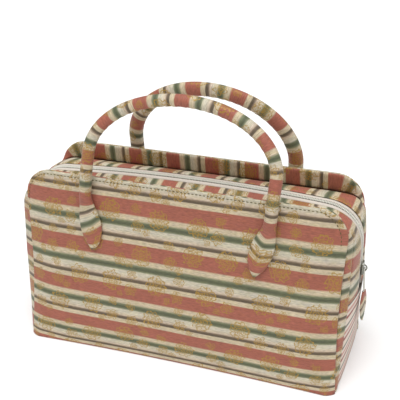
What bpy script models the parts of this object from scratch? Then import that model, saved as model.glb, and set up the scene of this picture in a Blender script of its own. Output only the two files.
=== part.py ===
"""Kimono handbag: a soft-sided box bag of brocade with a zip along the top and two rolled handles.

Metres, +Z up. The bag stands on the floor at z = 0 with its origin in the middle of its base.
X runs along the bag, and the front faces -Y.

The two panels are single curved walls. Everything between them, which is facings, gussets, zip
tapes and end panels, is cut from one envelope: a grid of sections across the bag, from the front
panel's rim over the zip to the back panel's rim. The sections are numbered by station:
0 is the middle of the top, 1 to 2 is the corner, 3 is the foot of the zip and 4 is the floor,
negative on the left.
"""
import math
from collections import namedtuple

import bmesh
import bpy
import numpy as np
from mathutils import Vector

# Panels
HALF_LENGTH = 0.151
PANEL_HEIGHT = 0.170
BASE_HALF_DEPTH = 0.0625
RIDGE_HALF_DEPTH = 0.038
PANEL_CORNER = 0.026
PIVOT_DROP = 0.040
PANEL_WAIST = 0.003
PANEL_THICKNESS = 0.0022
FOOT_ROUND = 0.0014
FOOT_ROUND_HEIGHT = 0.004

# How the panels draw back towards their side edges: share of the panel's height, how far back the
# edge lies, and how far in from the edge the panel begins to turn
Recess = namedtuple("Recess", "height depth run")
RECESSES = (
    Recess(0.00, 0.0055, 0.010),
    Recess(0.18, 0.0065, 0.024),
    Recess(0.45, 0.0065, 0.035),
    Recess(1.00, 0.0025, 0.035),
)

# The foot of each panel is drawn in a little along the middle of the bag
FOOT_BOW = 0.004
FOOT_BOW_HEIGHT = 0.060

# Seam between facing and gusset, and between facing and end panel
SEAM_DROP = 0.018
SEAM_BACK = 0.0075
STRIP_THICKNESS = 0.0015

# The ends of the soft bag aren't alike: how far the seam stands out beyond the panel's edge above
# the foot of the zip and at the floor, and the corner radii of the seam and of the crest
End = namedtuple("End", "seam_out floor_out seam_corner crest_corner")
LEFT_END = End(0.0105, 0.0060, 0.024, 0.040)
RIGHT_END = End(0.0035, 0.0005, 0.014, 0.036)

# Stations where the seam and the facing's rim begin to turn from lining to chamfer
SEAM_FLARE = 1.25
RIM_FLARE = 1.5
FLARE_RUN = 0.5

# Crest of the tent over the bag, which carries the zip
CREST_RISE = 0.0125
CREST_OUT = 0.004
CREST_CROWN = 0.005
TENT_POWER = 1.5

# Zip
ZIP_FOOT = 0.080
TAPE_REACH = 0.008
TAPE_DROP = 0.0008
TAPE_THICKNESS = 0.0012
COIL_HALF_WIDTH = 0.0025
COIL_HALF_THICKNESS = 0.0011

# Slider and pull
SLIDER_HEIGHT = 0.099
SLIDER_LENGTH = 0.012
SLIDER_HALF_WIDTH = 0.0045
SLIDER_PLATE = 0.0014
NOSE_HALF_WIDTH = 0.002
NOSE_LENGTH = 0.003
BRIDGE_WIRE = 0.0007
BRIDGE_SPAN = 0.0066
BRIDGE_RISE = 0.0034
STRIP_LENGTH = 0.023
STRIP_WIDTH = 0.005
STRIP_PLATE = 0.001
EYE_WIDTH = 0.0028
EYE_LENGTH = 0.003
EYE_BAR = 0.0014
PULL_TAB_LENGTH = 0.031
PULL_TAB_HALF_WIDTH = 0.008
PULL_TAB_HALF_THICKNESS = 0.0015
PULL_TAB_TURN = math.radians(9)

# Outline of the pull's leaf: a half wave cut off by these shares at both ends and raised to a power
TAB_CUT_ABOVE = 0.12
TAB_CUT_BELOW = 0.96
TAB_FULLNESS = 0.8
TAB_EDGE_SHARE = 0.6

# Handles
LEAF_TIP_HEIGHT = 0.103
LEAF_LENGTH = 0.055
LEAF_HALF_WIDTH = 0.0108
LEAF_HALF_THICKNESS = 0.002
LEAF_TIP_IN = 0.009
HANDLE_LEAN = 0.30
HANDLE_LEAN_ABOVE_RIDGE = 0.006

# Base
BASE_THICKNESS = 0.0025
BASE_CORNER_CUT = 0.006

# Gap between pieces that are sewn together
GAP = 0.0003

# Mesh density
TOP_STEPS = 14
CORNER_STEPS = 8
LEG_STEPS = 3
LOW_STEPS = 3
PANEL_COLUMNS = 18
RING_SIDES = 12
COIL_SIDES = 8
ARCH_STEPS = 18
TAB_STEPS = 9

Handle = namedtuple("Handle", "name side foot_centre centre half_span spring apex half_width half_thickness")
HANDLES = (
    Handle("handle_front", -1, -0.0030, 0.0028, 0.0862, 0.192, 0.2455, 0.0055, 0.0055),
    Handle("handle_back", 1, 0.0040, 0.0065, 0.0790, 0.175, 0.2412, 0.0070, 0.0050),
)

# A handle's leaf-shaped end, from its tip: share of its length, share of the leaf's half width,
# and how far the flat leaf has swelled into the round handle
LeafSection = namedtuple("LeafSection", "along leaf swell")
LEAF_SECTIONS = (
    LeafSection(0.00, 0.14, 0.00),
    LeafSection(0.06, 0.45, 0.00),
    LeafSection(0.18, 0.80, 0.00),
    LeafSection(0.36, 1.00, 0.00),
    LeafSection(0.55, 0.95, 0.05),
    LeafSection(0.72, 0.78, 0.30),
    LeafSection(0.86, 0.66, 0.65),
    LeafSection(1.00, 0.65, 1.00),
)

Finish = namedtuple("Finish", "colour roughness metallic")
CREAM_BROCADE = Finish((0.62, 0.50, 0.36, 1), 0.75, 0.0)
STRIPED_BROCADE = Finish((0.50, 0.25, 0.16, 1), 0.75, 0.0)
END_BROCADE = Finish((0.55, 0.40, 0.30, 1), 0.75, 0.0)
HANDLE_BROCADE = Finish((0.58, 0.42, 0.30, 1), 0.75, 0.0)
TAPE_CLOTH = Finish((0.75, 0.70, 0.60, 1), 0.8, 0.0)
COIL_NYLON = Finish((0.45, 0.45, 0.42, 1), 0.5, 0.0)
SLIDER_METAL = Finish((0.35, 0.37, 0.33, 1), 0.4, 1.0)
STRAP_CLOTH = Finish((0.72, 0.72, 0.66, 1), 0.7, 0.0)
TAB_BROCADE = Finish((0.45, 0.45, 0.28, 1), 0.75, 0.0)


# The corners of all arches are sectioned by turns about one pivot
PIVOT_X = HALF_LENGTH - PANEL_CORNER
PIVOT_Z = PANEL_HEIGHT - PIVOT_DROP


def mix(a, b, share):
    """Value between a and b."""
    return a + (b - a) * share


def smooth(share):
    """Smooth step from 0 to 1, held flat outside."""
    share = min(max(share, 0.0), 1.0)
    return share * share * (3 - 2 * share)


def clear_scene():
    """Remove whatever the open file holds."""
    for old in list(bpy.data.objects):
        bpy.data.objects.remove(old, do_unlink=True)


def finish_material(name, finish):
    """Principled material of one piece."""
    material = bpy.data.materials.new(name)
    material.use_nodes = True
    shader = material.node_tree.nodes["Principled BSDF"]
    shader.inputs["Base Color"].default_value = finish.colour
    shader.inputs["Roughness"].default_value = finish.roughness
    shader.inputs["Metallic"].default_value = finish.metallic
    material.diffuse_color = finish.colour
    return material


def add_object(name, bm, finish, sharp_angle=50.0):
    """Link a bmesh as an object with its own material, shaded smooth up to an angle."""
    bmesh.ops.recalc_face_normals(bm, faces=bm.faces)
    mesh = bpy.data.meshes.new(name)
    bm.to_mesh(mesh)
    bm.free()
    mesh.shade_smooth()
    mesh.set_sharp_from_angle(angle=math.radians(sharp_angle))
    piece = bpy.data.objects.new(name, mesh)
    bpy.context.scene.collection.objects.link(piece)
    piece.data.materials.append(finish_material(name, finish))
    return piece


def add_helper(name, bm):
    """Object that only takes part in a Boolean."""
    helper = add_object(name, bm, SLIDER_METAL)
    helper.hide_render = True
    helper.display_type = "WIRE"
    return helper


def combine(piece, helper, operation):
    """Boolean modifier on a piece, with the EXACT solver that is Blender's default."""
    modifier = piece.modifiers.new(helper.name, "BOOLEAN")
    modifier.operation = operation
    modifier.object = helper


def closed_shell(name, outer, inner, finish):
    """Closed wall between two grids of points, joined round their border."""
    rows, columns = outer.shape[:2]
    bm = bmesh.new()
    front = [[bm.verts.new(point) for point in row] for row in outer]
    back = [[bm.verts.new(point) for point in row] for row in inner]
    for i in range(rows - 1):
        for j in range(columns - 1):
            bm.faces.new((front[i][j], front[i][j + 1], front[i + 1][j + 1], front[i + 1][j]))
            bm.faces.new((back[i][j], back[i + 1][j], back[i + 1][j + 1], back[i][j + 1]))
    border = [(0, j) for j in range(columns)]
    border += [(i, columns - 1) for i in range(1, rows)]
    border += [(rows - 1, j) for j in range(columns - 2, -1, -1)]
    border += [(i, 0) for i in range(rows - 2, 0, -1)]
    for (i, j), (k, m) in zip(border, border[1:] + border[:1]):
        bm.faces.new((front[i][j], back[i][j], back[k][m], front[k][m]))
    return add_object(name, bm, finish)


def loft(name, rings, finish):
    """Closed solid through rings of points, with flat ends."""
    bm = bmesh.new()
    loops = [[bm.verts.new(point) for point in ring] for ring in rings]
    sides = len(loops[0])
    for low, high in zip(loops, loops[1:]):
        for k in range(sides):
            m = (k + 1) % sides
            bm.faces.new((low[k], low[m], high[m], high[k]))
    bm.faces.new(loops[0])
    bm.faces.new(loops[-1])
    return add_object(name, bm, finish)


def ellipse_ring(centre, across, out, half_width, half_thickness, sides):
    """Ring of points round a centre, in the plane of two unit directions."""
    turns = [2 * math.pi * (k + 0.5) / sides for k in range(sides)]
    return [centre + across * (half_width * math.cos(a)) + out * (half_thickness * math.sin(a))
            for a in turns]


def box_mesh(low, high):
    """Box between two corners."""
    bm = bmesh.new()
    bmesh.ops.create_cube(bm, size=1.0)
    low = Vector(low)
    high = Vector(high)
    for vertex in bm.verts:
        share = vertex.co + Vector((0.5, 0.5, 0.5))
        vertex.co = Vector([mix(low[k], high[k], share[k]) for k in range(3)])
    return bm


# Shape of the panels


def half_depth(z):
    """Half depth over the panels at a height, in the middle of the bag."""
    return mix(BASE_HALF_DEPTH, RIDGE_HALF_DEPTH, z / PANEL_HEIGHT)


def recess(x, z):
    """How far a panel draws back near its side edges."""
    heights = [row.height * PANEL_HEIGHT for row in RECESSES]
    depth = np.interp(z, heights, [row.depth for row in RECESSES])
    run = np.interp(z, heights, [row.run for row in RECESSES])
    share = (abs(x) - (HALF_LENGTH - run)) / run
    return depth * min(max(share, 0.0), 1.0) ** 2


def foot_bow(x, z):
    """How far a panel's foot is drawn in along the middle of the bag."""
    low = max(1 - z / FOOT_BOW_HEIGHT, 0.0)
    return FOOT_BOW * low ** 2 * max(1 - (x / HALF_LENGTH) ** 2, 0.0)


def panel_depth(x, z):
    """Half depth over the panels at any place."""
    return half_depth(z) - recess(x, z) - foot_bow(x, z)


def arch_point(half, top, corner, station):
    """(x, z) where an arch with a round corner meets a station.

    The stations are even steps along the top as far as the pivot, even turns about the pivot
    round the corner, and even steps down the leg.
    """
    side = math.copysign(1.0, station)
    s = abs(station)
    run = half - corner
    knee = top - corner
    if s <= 1:
        x = PIVOT_X * s
        return side * x, knee + math.sqrt(corner ** 2 - max(x - run, 0.0) ** 2)
    if s >= 2:
        z = mix(PIVOT_Z, ZIP_FOOT, s - 2) if s <= 3 else mix(ZIP_FOOT, 0.0, s - 3)
        return side * (run + math.sqrt(corner ** 2 - max(z - knee, 0.0) ** 2)), z
    angle = (2 - s) * math.pi / 2
    across, up = math.cos(angle), math.sin(angle)
    top_x = PIVOT_X + (top - PIVOT_Z) * across / up
    leg_z = PIVOT_Z + (half - PIVOT_X) * up / across
    if top_x <= run:
        return side * top_x, top
    if leg_z <= knee:
        return side * half, leg_z
    ahead = (run - PIVOT_X) * across + (knee - PIVOT_Z) * up
    away = (run - PIVOT_X) ** 2 + (knee - PIVOT_Z) ** 2
    reach = ahead + math.sqrt(ahead ** 2 - away + corner ** 2)
    return side * (PIVOT_X + reach * across), PIVOT_Z + reach * up


def rim_point(station):
    """(x, z) on a panel's edge, which is drawn in a little at half height."""
    x, z = arch_point(HALF_LENGTH, PANEL_HEIGHT, PANEL_CORNER, station)
    knee = PANEL_HEIGHT - PANEL_CORNER
    if z < knee:
        x -= math.copysign(PANEL_WAIST * math.sin(math.pi * z / knee), x)
    return x, z


def stations():
    """Station numbers from the left floor over the top to the right floor."""
    half = [k / (TOP_STEPS / 2) for k in range(TOP_STEPS // 2)]
    half += [1 + k / CORNER_STEPS for k in range(CORNER_STEPS)]
    half += [2 + k / LEG_STEPS for k in range(LEG_STEPS)]
    half += [3 + k / LOW_STEPS for k in range(LOW_STEPS)]
    half += [4 - FOOT_ROUND_HEIGHT / ZIP_FOOT, 4.0]
    return [-s for s in reversed(half[1:])] + half


STATIONS = stations()


def foot_round(z):
    """How far a panel's outer side is rounded in just above the floor."""
    share = min(z / FOOT_ROUND_HEIGHT, 1.0)
    return FOOT_ROUND * (1 - math.sqrt(share * (2 - share)))


def panel_spread():
    """Columns of a panel as shares of its half length, closer together near the side edges."""
    return [math.sin(math.pi / 2 * (2 * k / PANEL_COLUMNS - 1)) for k in range(PANEL_COLUMNS + 1)]


def panel(name, side, finish):
    """Front (side -1) or back (side 1) panel, a wall between two grids."""
    rows = [rim_point(s) for s in STATIONS if s >= 1]
    spread = panel_spread()
    outer = []
    inner = []
    for half, z in rows:
        across = [half * share for share in spread]
        outer.append([(x, side * (panel_depth(x, z) - foot_round(z)), z) for x in across])
        inner.append([(x, side * (panel_depth(x, z) - PANEL_THICKNESS), z) for x in across])
    return closed_shell(name, np.array(outer), np.array(inner), finish)


# Envelope between the panels


def leg_share(station, start):
    """0 along the top, where the facing lines the ridge, to 1 on the ends, where it flares out."""
    return smooth((abs(station) - start) / FLARE_RUN)


def end_of(station):
    """Shape of the bag's end on a station's side."""
    return LEFT_END if station < 0 else RIGHT_END


def low_share(station):
    """0 at the foot of the zip and above, to 1 at the floor."""
    return max(abs(station) - 3, 0.0)


def seam_point(station):
    """(x, half depth, z) of the seam on the inner edge of a facing."""
    end = end_of(station)
    x, z = arch_point(HALF_LENGTH + end.seam_out, PANEL_HEIGHT - SEAM_DROP, end.seam_corner, station)
    x -= math.copysign((end.seam_out - end.floor_out) * low_share(station), station)
    tucked = panel_depth(x, z) - PANEL_THICKNESS - GAP - STRIP_THICKNESS
    flared = panel_depth(x, z) - PANEL_THICKNESS - SEAM_BACK
    return x, mix(tucked, flared, leg_share(station, SEAM_FLARE)), z


def crest_point(station):
    """(x, z) of the crest, which carries the zip down to its foot and lies flat at the floor."""
    end = end_of(station)
    half = HALF_LENGTH + end.seam_out + CREST_OUT
    top = PANEL_HEIGHT - SEAM_DROP + CREST_RISE
    x, z = arch_point(half, top - CREST_CROWN, end.crest_corner, station)
    z += CREST_CROWN * (1 - min(abs(station), 1.0) ** 2)
    x -= math.copysign((end.seam_out - end.floor_out + CREST_OUT) * low_share(station), station)
    return x, z


def facing_rim(station):
    """Point on the facing's outer edge, just behind the panel's edge."""
    x, z = rim_point(station)
    lining = STRIP_THICKNESS * (1 - leg_share(station, RIM_FLARE))
    return (x, -(panel_depth(x, z) - PANEL_THICKNESS - GAP - lining), z)


def tent_point(station, share):
    """Point of the tent, from the crest (share 0) to the front seam (share 1)."""
    seam_x, reach, seam_z = seam_point(station)
    crest_x, crest_z = crest_point(station)
    fall = share ** TENT_POWER
    return (mix(crest_x, seam_x, fall), -reach * share, mix(crest_z, seam_z, fall))


def section(station):
    """Points across the bag at a station, from the front rim over the crest to the back rim."""
    reach = seam_point(station)[1]
    tape = TAPE_REACH / reach
    coil = (COIL_HALF_WIDTH + GAP) / reach
    shares = [1.0, mix(1.0, tape, 1 / 3), mix(1.0, tape, 2 / 3), tape, mix(tape, coil, 0.5), coil]
    front = [facing_rim(station)] + [tent_point(station, share) for share in shares]
    crest = [tent_point(station, 0.0)]
    back = [(x, -y, z) for x, y, z in reversed(front)]
    return front + crest + back


# Columns of the envelope's front half; the back half is counted from the far side
RIM = 0
SEAM = 1
TAPE_EDGE = 4
COIL_EDGE = 6


def unit(vectors):
    """Vectors at length one."""
    return vectors / np.linalg.norm(vectors, axis=-1, keepdims=True)


def wall_directions(grid):
    """Outward offset direction at each point, mitred where two strips meet at an angle."""
    along = np.gradient(grid, axis=0)
    edges = np.diff(grid, axis=1)
    before = np.concatenate([edges[:, :1], edges], axis=1)
    after = np.concatenate([edges, edges[:, -1:]], axis=1)
    normal_before = unit(np.cross(along, before))
    normal_after = unit(np.cross(along, after))
    spread = 1 + np.sum(normal_before * normal_after, axis=-1, keepdims=True)
    return (normal_before + normal_after) / spread


ENVELOPE = np.array([section(s) for s in STATIONS])
OUTWARD = wall_directions(ENVELOPE)


def drawn_in(grid, distance):
    """Grid with each border moved inwards by a distance, which opens the seams."""
    moved = grid.copy()
    for edge, inside in ((0, 1), (-1, -2)):
        moved[edge] += unit(grid[inside] - grid[edge]) * distance
    result = moved.copy()
    for edge, inside in ((0, 1), (-1, -2)):
        result[:, edge] += unit(moved[:, inside] - moved[:, edge]) * distance
    return result


def envelope_piece(name, rows, columns, depth, thickness, finish):
    """Wall cut from the envelope between two stations and two columns."""
    keep = [i for i, s in enumerate(STATIONS) if rows[0] <= s <= rows[1]]
    span = slice(columns[0], columns[1] + 1)
    surface = ENVELOPE[keep][:, span]
    outward = OUTWARD[keep][:, span]
    outer = drawn_in(surface - outward * depth, GAP)
    inner = drawn_in(surface - outward * (depth + thickness), GAP)
    return closed_shell(name, outer, inner, finish)


def front_columns(first, last):
    """Columns on the front half of the envelope."""
    return first, last


def back_columns(first, last):
    """The same columns on the back half of the envelope."""
    end = len(ENVELOPE[0]) - 1
    return end - last, end - first


def between_panels():
    """Facings, gussets, zip tapes and end panels."""
    for half, columns in (("front", front_columns), ("back", back_columns)):
        envelope_piece(f"facing_{half}", (-4, 4), columns(RIM, SEAM), 0.0, STRIP_THICKNESS,
                       STRIPED_BROCADE)
        envelope_piece(f"gusset_{half}", (-3, 3), columns(SEAM, TAPE_EDGE), 0.0, STRIP_THICKNESS,
                       STRIPED_BROCADE)
        envelope_piece(f"zipper_tape_{half}", (-3, 3), columns(TAPE_EDGE, COIL_EDGE), TAPE_DROP,
                       TAPE_THICKNESS, TAPE_CLOTH)
    for end, rows in (("left", (-4, -3)), ("right", (3, 4))):
        seams = (SEAM, back_columns(RIM, SEAM)[0])
        envelope_piece(f"end_panel_{end}", rows, seams, 0.0, STRIP_THICKNESS, END_BROCADE)


def base_panel(name, finish):
    """Flat bottom that fits between the walls."""
    columns = [HALF_LENGTH * share for share in panel_spread() if share > -GAP]
    across = [x for x in columns if x < HALF_LENGTH - BASE_CORNER_CUT]
    front = [(x, panel_depth(x, BASE_THICKNESS) - PANEL_THICKNESS - GAP) for x in across]
    corner_y = seam_point(4)[1] - BASE_CORNER_CUT
    outline = []
    for station, side in ((4, 1), (-4, -1)):
        end_x = abs(tent_point(station, 0.0)[0]) - STRIP_THICKNESS - GAP
        half = [(side * x, side * y) for x, y in front + [(end_x, corner_y)]]
        outline += half + [(x, -y) for x, y in reversed(half[1:])]
    rings = [[(x, y, z) for x, y in outline] for z in (0.0, BASE_THICKNESS)]
    return loft(name, rings, finish)


# Zip


def crest_x():
    """Crest of the right end, between the corner and the foot of the zip."""
    return HALF_LENGTH + RIGHT_END.seam_out + CREST_OUT


def slider_nose():
    """Lowest and highest point of the nose that parts the tapes."""
    low = SLIDER_HEIGHT - SLIDER_LENGTH / 2 + GAP
    return low, low + NOSE_LENGTH


def zipper_coil(name, finish):
    """Closed coil along the crest, from the left foot to the slider's nose."""
    end = slider_nose()[1] + GAP
    last = 2 + (PIVOT_Z - end) / (PIVOT_Z - ZIP_FOOT)
    run = [s for s in STATIONS if -3 < s < last]
    run = [-3 + GAP / ZIP_FOOT] + run + [last]
    centres = [Vector(tent_point(s, 0.0)) for s in run]
    depth = TAPE_DROP + TAPE_THICKNESS / 2
    across = Vector((0, 1, 0))
    rings = []
    for k, centre in enumerate(centres):
        ahead = centres[min(k + 1, len(centres) - 1)] - centres[max(k - 1, 0)]
        out = across.cross(ahead.normalized()) * -1
        rings.append(ellipse_ring(centre - out * depth, across, out, COIL_HALF_WIDTH,
                                  COIL_HALF_THICKNESS, COIL_SIDES))
    return loft(name, rings, finish)


def slider_levels():
    """Inner and outer face of the slider's plate inside the bag and of the one outside, along X."""
    middle = crest_x() - TAPE_DROP - TAPE_THICKNESS / 2
    out_low = middle + COIL_HALF_THICKNESS + GAP
    in_high = middle - COIL_HALF_THICKNESS - GAP
    return in_high - SLIDER_PLATE, in_high, out_low, out_low + SLIDER_PLATE


def bridge_mesh(x, low, high):
    """Half ring of wire that stands on the slider, from one height to another."""
    bm = bmesh.new()
    middle = (low + high) / 2
    radius = (high - low) / 2
    steps = TAB_STEPS
    rings = []
    for k in range(steps + 1):
        angle = math.pi * k / steps
        centre = Vector((x + BRIDGE_RISE * math.sin(angle), 0, middle - radius * math.cos(angle)))
        out = Vector((math.sin(angle), 0, -math.cos(angle)))
        rings.append(ellipse_ring(centre, Vector((0, 1, 0)), out, BRIDGE_WIRE, BRIDGE_WIRE, COIL_SIDES))
    loops = [[bm.verts.new(point) for point in ring] for ring in rings]
    for first, second in zip(loops, loops[1:]):
        for k in range(COIL_SIDES):
            m = (k + 1) % COIL_SIDES
            bm.faces.new((first[k], first[m], second[m], second[k]))
    bm.faces.new(loops[0])
    bm.faces.new(loops[-1])
    return bm


def zipper_slider(name, finish):
    """Slider at the right end: two plates joined by a nose, with a bridge for the pull."""
    under, in_high, out_low, top = slider_levels()
    low = SLIDER_HEIGHT - SLIDER_LENGTH / 2
    high = SLIDER_HEIGHT + SLIDER_LENGTH / 2
    nose_low, nose_high = slider_nose()
    plate = box_mesh((out_low, -SLIDER_HALF_WIDTH, low), (top, SLIDER_HALF_WIDTH, high))
    bmesh.ops.bevel(plate, geom=[e for e in plate.edges if abs((e.verts[0].co - e.verts[1].co).x) > 0],
                    offset=SLIDER_HALF_WIDTH / 2, segments=3, profile=0.5, affect="EDGES")
    slider = add_object(name, plate, finish)
    inside = box_mesh((under, -SLIDER_HALF_WIDTH, low), (in_high, SLIDER_HALF_WIDTH, high))
    sunk = SLIDER_PLATE / 2
    nose = box_mesh((in_high - sunk, -NOSE_HALF_WIDTH, nose_low), (out_low + sunk, NOSE_HALF_WIDTH, nose_high))
    bridge = bridge_mesh(top - sunk, SLIDER_HEIGHT - BRIDGE_SPAN / 2, SLIDER_HEIGHT + BRIDGE_SPAN / 2)
    for part, bm in (("slider_nose", nose), ("slider_inner_plate", inside), ("slider_bridge", bridge)):
        combine(slider, add_helper(part, bm), "UNION")
    return slider


def pull_place():
    """Where the pull hangs: x on the slider, x over the end panel, top and bottom of the strap."""
    on_slider = slider_levels()[3] + GAP + STRIP_PLATE / 2
    on_end = crest_x() + GAP + PULL_TAB_HALF_THICKNESS + PULL_TAB_HALF_WIDTH * math.sin(PULL_TAB_TURN)
    top = SLIDER_HEIGHT - BRIDGE_SPAN / 2 + EYE_LENGTH / 2 + EYE_BAR
    return on_slider, max(on_end, on_slider), top, top - STRIP_LENGTH


def pull_strip(name, finish):
    """Flat strap whose eye goes round the slider's bridge."""
    on_slider, on_end, top, bottom = pull_place()
    bend = SLIDER_HEIGHT - SLIDER_LENGTH / 2
    rings = []
    for x, z in ((on_slider, top), (on_slider, bend), (on_end, bottom)):
        low, high = x - STRIP_PLATE / 2, x + STRIP_PLATE / 2
        half = STRIP_WIDTH / 2
        rings.append([(low, -half, z), (high, -half, z), (high, half, z), (low, half, z)])
    strip = loft(name, rings, finish)
    eye_top = top - EYE_BAR
    eye = box_mesh((on_slider - STRIP_PLATE, -EYE_WIDTH / 2, eye_top - EYE_LENGTH),
                   (on_slider + STRIP_PLATE, EYE_WIDTH / 2, eye_top))
    combine(strip, add_helper("strip_eye", eye), "DIFFERENCE")
    return strip


def pull_tab(name, finish):
    """Leaf of folded cloth on the end of the strap, its tip down."""
    x, top = pull_place()[1], pull_place()[3] - GAP
    across = Vector((-math.sin(PULL_TAB_TURN), -math.cos(PULL_TAB_TURN), 0))
    out = Vector((math.cos(PULL_TAB_TURN), -math.sin(PULL_TAB_TURN), 0))
    rings = []
    for k in range(TAB_STEPS + 1):
        share = k / TAB_STEPS
        full = math.sin(math.pi * mix(TAB_CUT_ABOVE, TAB_CUT_BELOW, share)) ** TAB_FULLNESS
        centre = Vector((x, 0, top - PULL_TAB_LENGTH * share))
        thickness = PULL_TAB_HALF_THICKNESS * mix(TAB_EDGE_SHARE, 1.0, full)
        rings.append(ellipse_ring(centre, across, out, PULL_TAB_HALF_WIDTH * full, thickness,
                                  RING_SIDES))
    return loft(name, rings, finish)


# Handles


def handle_lean_height():
    """Height above which a handle leans in more than the panel."""
    return PANEL_HEIGHT + HANDLE_LEAN_ABOVE_RIDGE


def handle_depth(z, half_thickness):
    """Distance of a handle's middle from the middle of the bag."""
    knee = handle_lean_height()
    on_panel = half_depth(min(z, knee)) + GAP + half_thickness
    return on_panel - HANDLE_LEAN * max(z - knee, 0.0)


def leg_sections(handle):
    """Sections of a handle's right leg from the tip of the leaf to the spring of its arch."""
    leaf_top = LEAF_TIP_HEIGHT + LEAF_LENGTH
    rows = []
    for row in LEAF_SECTIONS:
        width = mix(LEAF_HALF_WIDTH * row.leaf, handle.half_width, row.swell)
        thickness = mix(LEAF_HALF_THICKNESS, handle.half_thickness, row.swell)
        rows.append((LEAF_TIP_HEIGHT + LEAF_LENGTH * row.along, width, thickness))
    for k in range(1, LEG_STEPS):
        z = mix(leaf_top, handle.spring, k / LEG_STEPS)
        rows.append((z, handle.half_width, handle.half_thickness))
    return [(handle.half_span - LEAF_TIP_IN * smooth((leaf_top - z) / LEAF_LENGTH), z, width, thickness)
            for z, width, thickness in rows]


def handle_sections(handle):
    """Sections (x, z, half width, half thickness) from the left tip over the arch to the right tip."""
    leg = leg_sections(handle)
    arch = []
    for k in range(ARCH_STEPS + 1):
        angle = math.pi * (1 - k / ARCH_STEPS)
        x = handle.half_span * math.cos(angle)
        z = mix(handle.spring, handle.apex, math.sin(angle))
        arch.append((x, z, handle.half_width, handle.half_thickness))
    left = [(-x, z, width, thickness) for x, z, width, thickness in leg]
    return left + arch + list(reversed(leg))


def sideways(handle, z):
    """Middle of a handle at a height, which leans along the bag as it rises."""
    share = (z - LEAF_TIP_HEIGHT) / (handle.spring - LEAF_TIP_HEIGHT)
    return mix(handle.foot_centre, handle.centre, min(share, 1.0))


def rolled_handle(handle, finish):
    """Rolled handle with its two leaf-shaped ends, as one solid."""
    rows = handle_sections(handle)
    centres = [Vector((x + sideways(handle, z), handle.side * handle_depth(z, thickness), z))
               for x, z, width, thickness in rows]
    away = Vector((0, handle.side, HANDLE_LEAN)).normalized()
    rings = []
    for k, (x, z, width, thickness) in enumerate(rows):
        ahead = (centres[min(k + 1, len(rows) - 1)] - centres[max(k - 1, 0)]).normalized()
        out = (away - ahead * away.dot(ahead)).normalized()
        across = ahead.cross(out)
        rings.append(ellipse_ring(centres[k], across, out, width, thickness, RING_SIDES))
    return loft(handle.name, rings, finish)


def build():
    """Model every piece."""
    clear_scene()
    panel("front_panel", -1, CREAM_BROCADE)
    panel("back_panel", 1, CREAM_BROCADE)
    between_panels()
    base_panel("base_panel", END_BROCADE)
    zipper_coil("zipper_coil", COIL_NYLON)
    zipper_slider("zipper_slider", SLIDER_METAL)
    pull_strip("pull_strip", STRAP_CLOTH)
    pull_tab("pull_tab", TAB_BROCADE)
    for handle in HANDLES:
        rolled_handle(handle, HANDLE_BROCADE)


build()
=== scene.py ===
"""Looks of the kimono handbag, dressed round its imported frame.

Metres, +Z up, X along the bag, and the front faces -Y, as in the frame. The cloth pieces repeat the
frame's shapes from the same named sizes, at a finer step, with a UV map that holds the place on the
flat cloth: U along its stripes and V across them.
"""
import math
from collections import namedtuple

import bmesh
import bpy
import numpy as np
from bpy.props import FloatProperty, FloatVectorProperty, IntProperty, PointerProperty
from mathutils import Matrix, Vector, noise


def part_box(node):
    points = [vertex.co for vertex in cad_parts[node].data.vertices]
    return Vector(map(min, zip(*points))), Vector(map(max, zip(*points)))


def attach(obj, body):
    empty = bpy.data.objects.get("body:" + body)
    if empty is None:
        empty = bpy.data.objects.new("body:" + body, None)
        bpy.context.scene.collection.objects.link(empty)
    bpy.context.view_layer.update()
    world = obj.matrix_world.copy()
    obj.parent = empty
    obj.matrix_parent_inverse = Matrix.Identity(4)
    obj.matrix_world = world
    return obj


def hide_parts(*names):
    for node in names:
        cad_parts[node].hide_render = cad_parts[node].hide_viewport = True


bl_info = {
    "name": "Kimono handbag",
    "version": (1, 0, 0),
    "blender": (4, 5, 0),
    "location": "View3D > Sidebar > Handbag",
    "description": "Dresses the frame of a kimono handbag with brocade, zip, handles and stitches",
    "category": "Add Mesh",
}

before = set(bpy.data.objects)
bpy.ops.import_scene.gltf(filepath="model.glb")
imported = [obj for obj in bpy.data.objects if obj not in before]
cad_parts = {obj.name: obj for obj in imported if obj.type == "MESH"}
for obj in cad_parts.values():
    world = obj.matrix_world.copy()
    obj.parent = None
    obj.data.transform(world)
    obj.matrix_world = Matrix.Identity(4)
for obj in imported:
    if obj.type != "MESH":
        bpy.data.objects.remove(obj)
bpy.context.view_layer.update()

MM = 0.001

# Sizes that the frame states
HALF_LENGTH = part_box("front_panel")[1].x
PANEL_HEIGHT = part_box("front_panel")[1].z
SLIDER_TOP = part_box("zipper_slider")[1].z
TAB_LOW, TAB_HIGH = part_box("pull_tab")

# Panels, as in the frame's source
BASE_HALF_DEPTH = 0.0625
RIDGE_HALF_DEPTH = 0.038
PANEL_CORNER = 0.026
PIVOT_DROP = 0.040
PANEL_WAIST = 0.003
PANEL_THICKNESS = 0.0022
Recess = namedtuple("Recess", "height depth run")
RECESSES = (
    Recess(0.00, 0.0055, 0.010),
    Recess(0.18, 0.0065, 0.024),
    Recess(0.45, 0.0065, 0.035),
    Recess(1.00, 0.0025, 0.035),
)
FOOT_BOW = 0.004
FOOT_BOW_HEIGHT = 0.060

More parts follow.
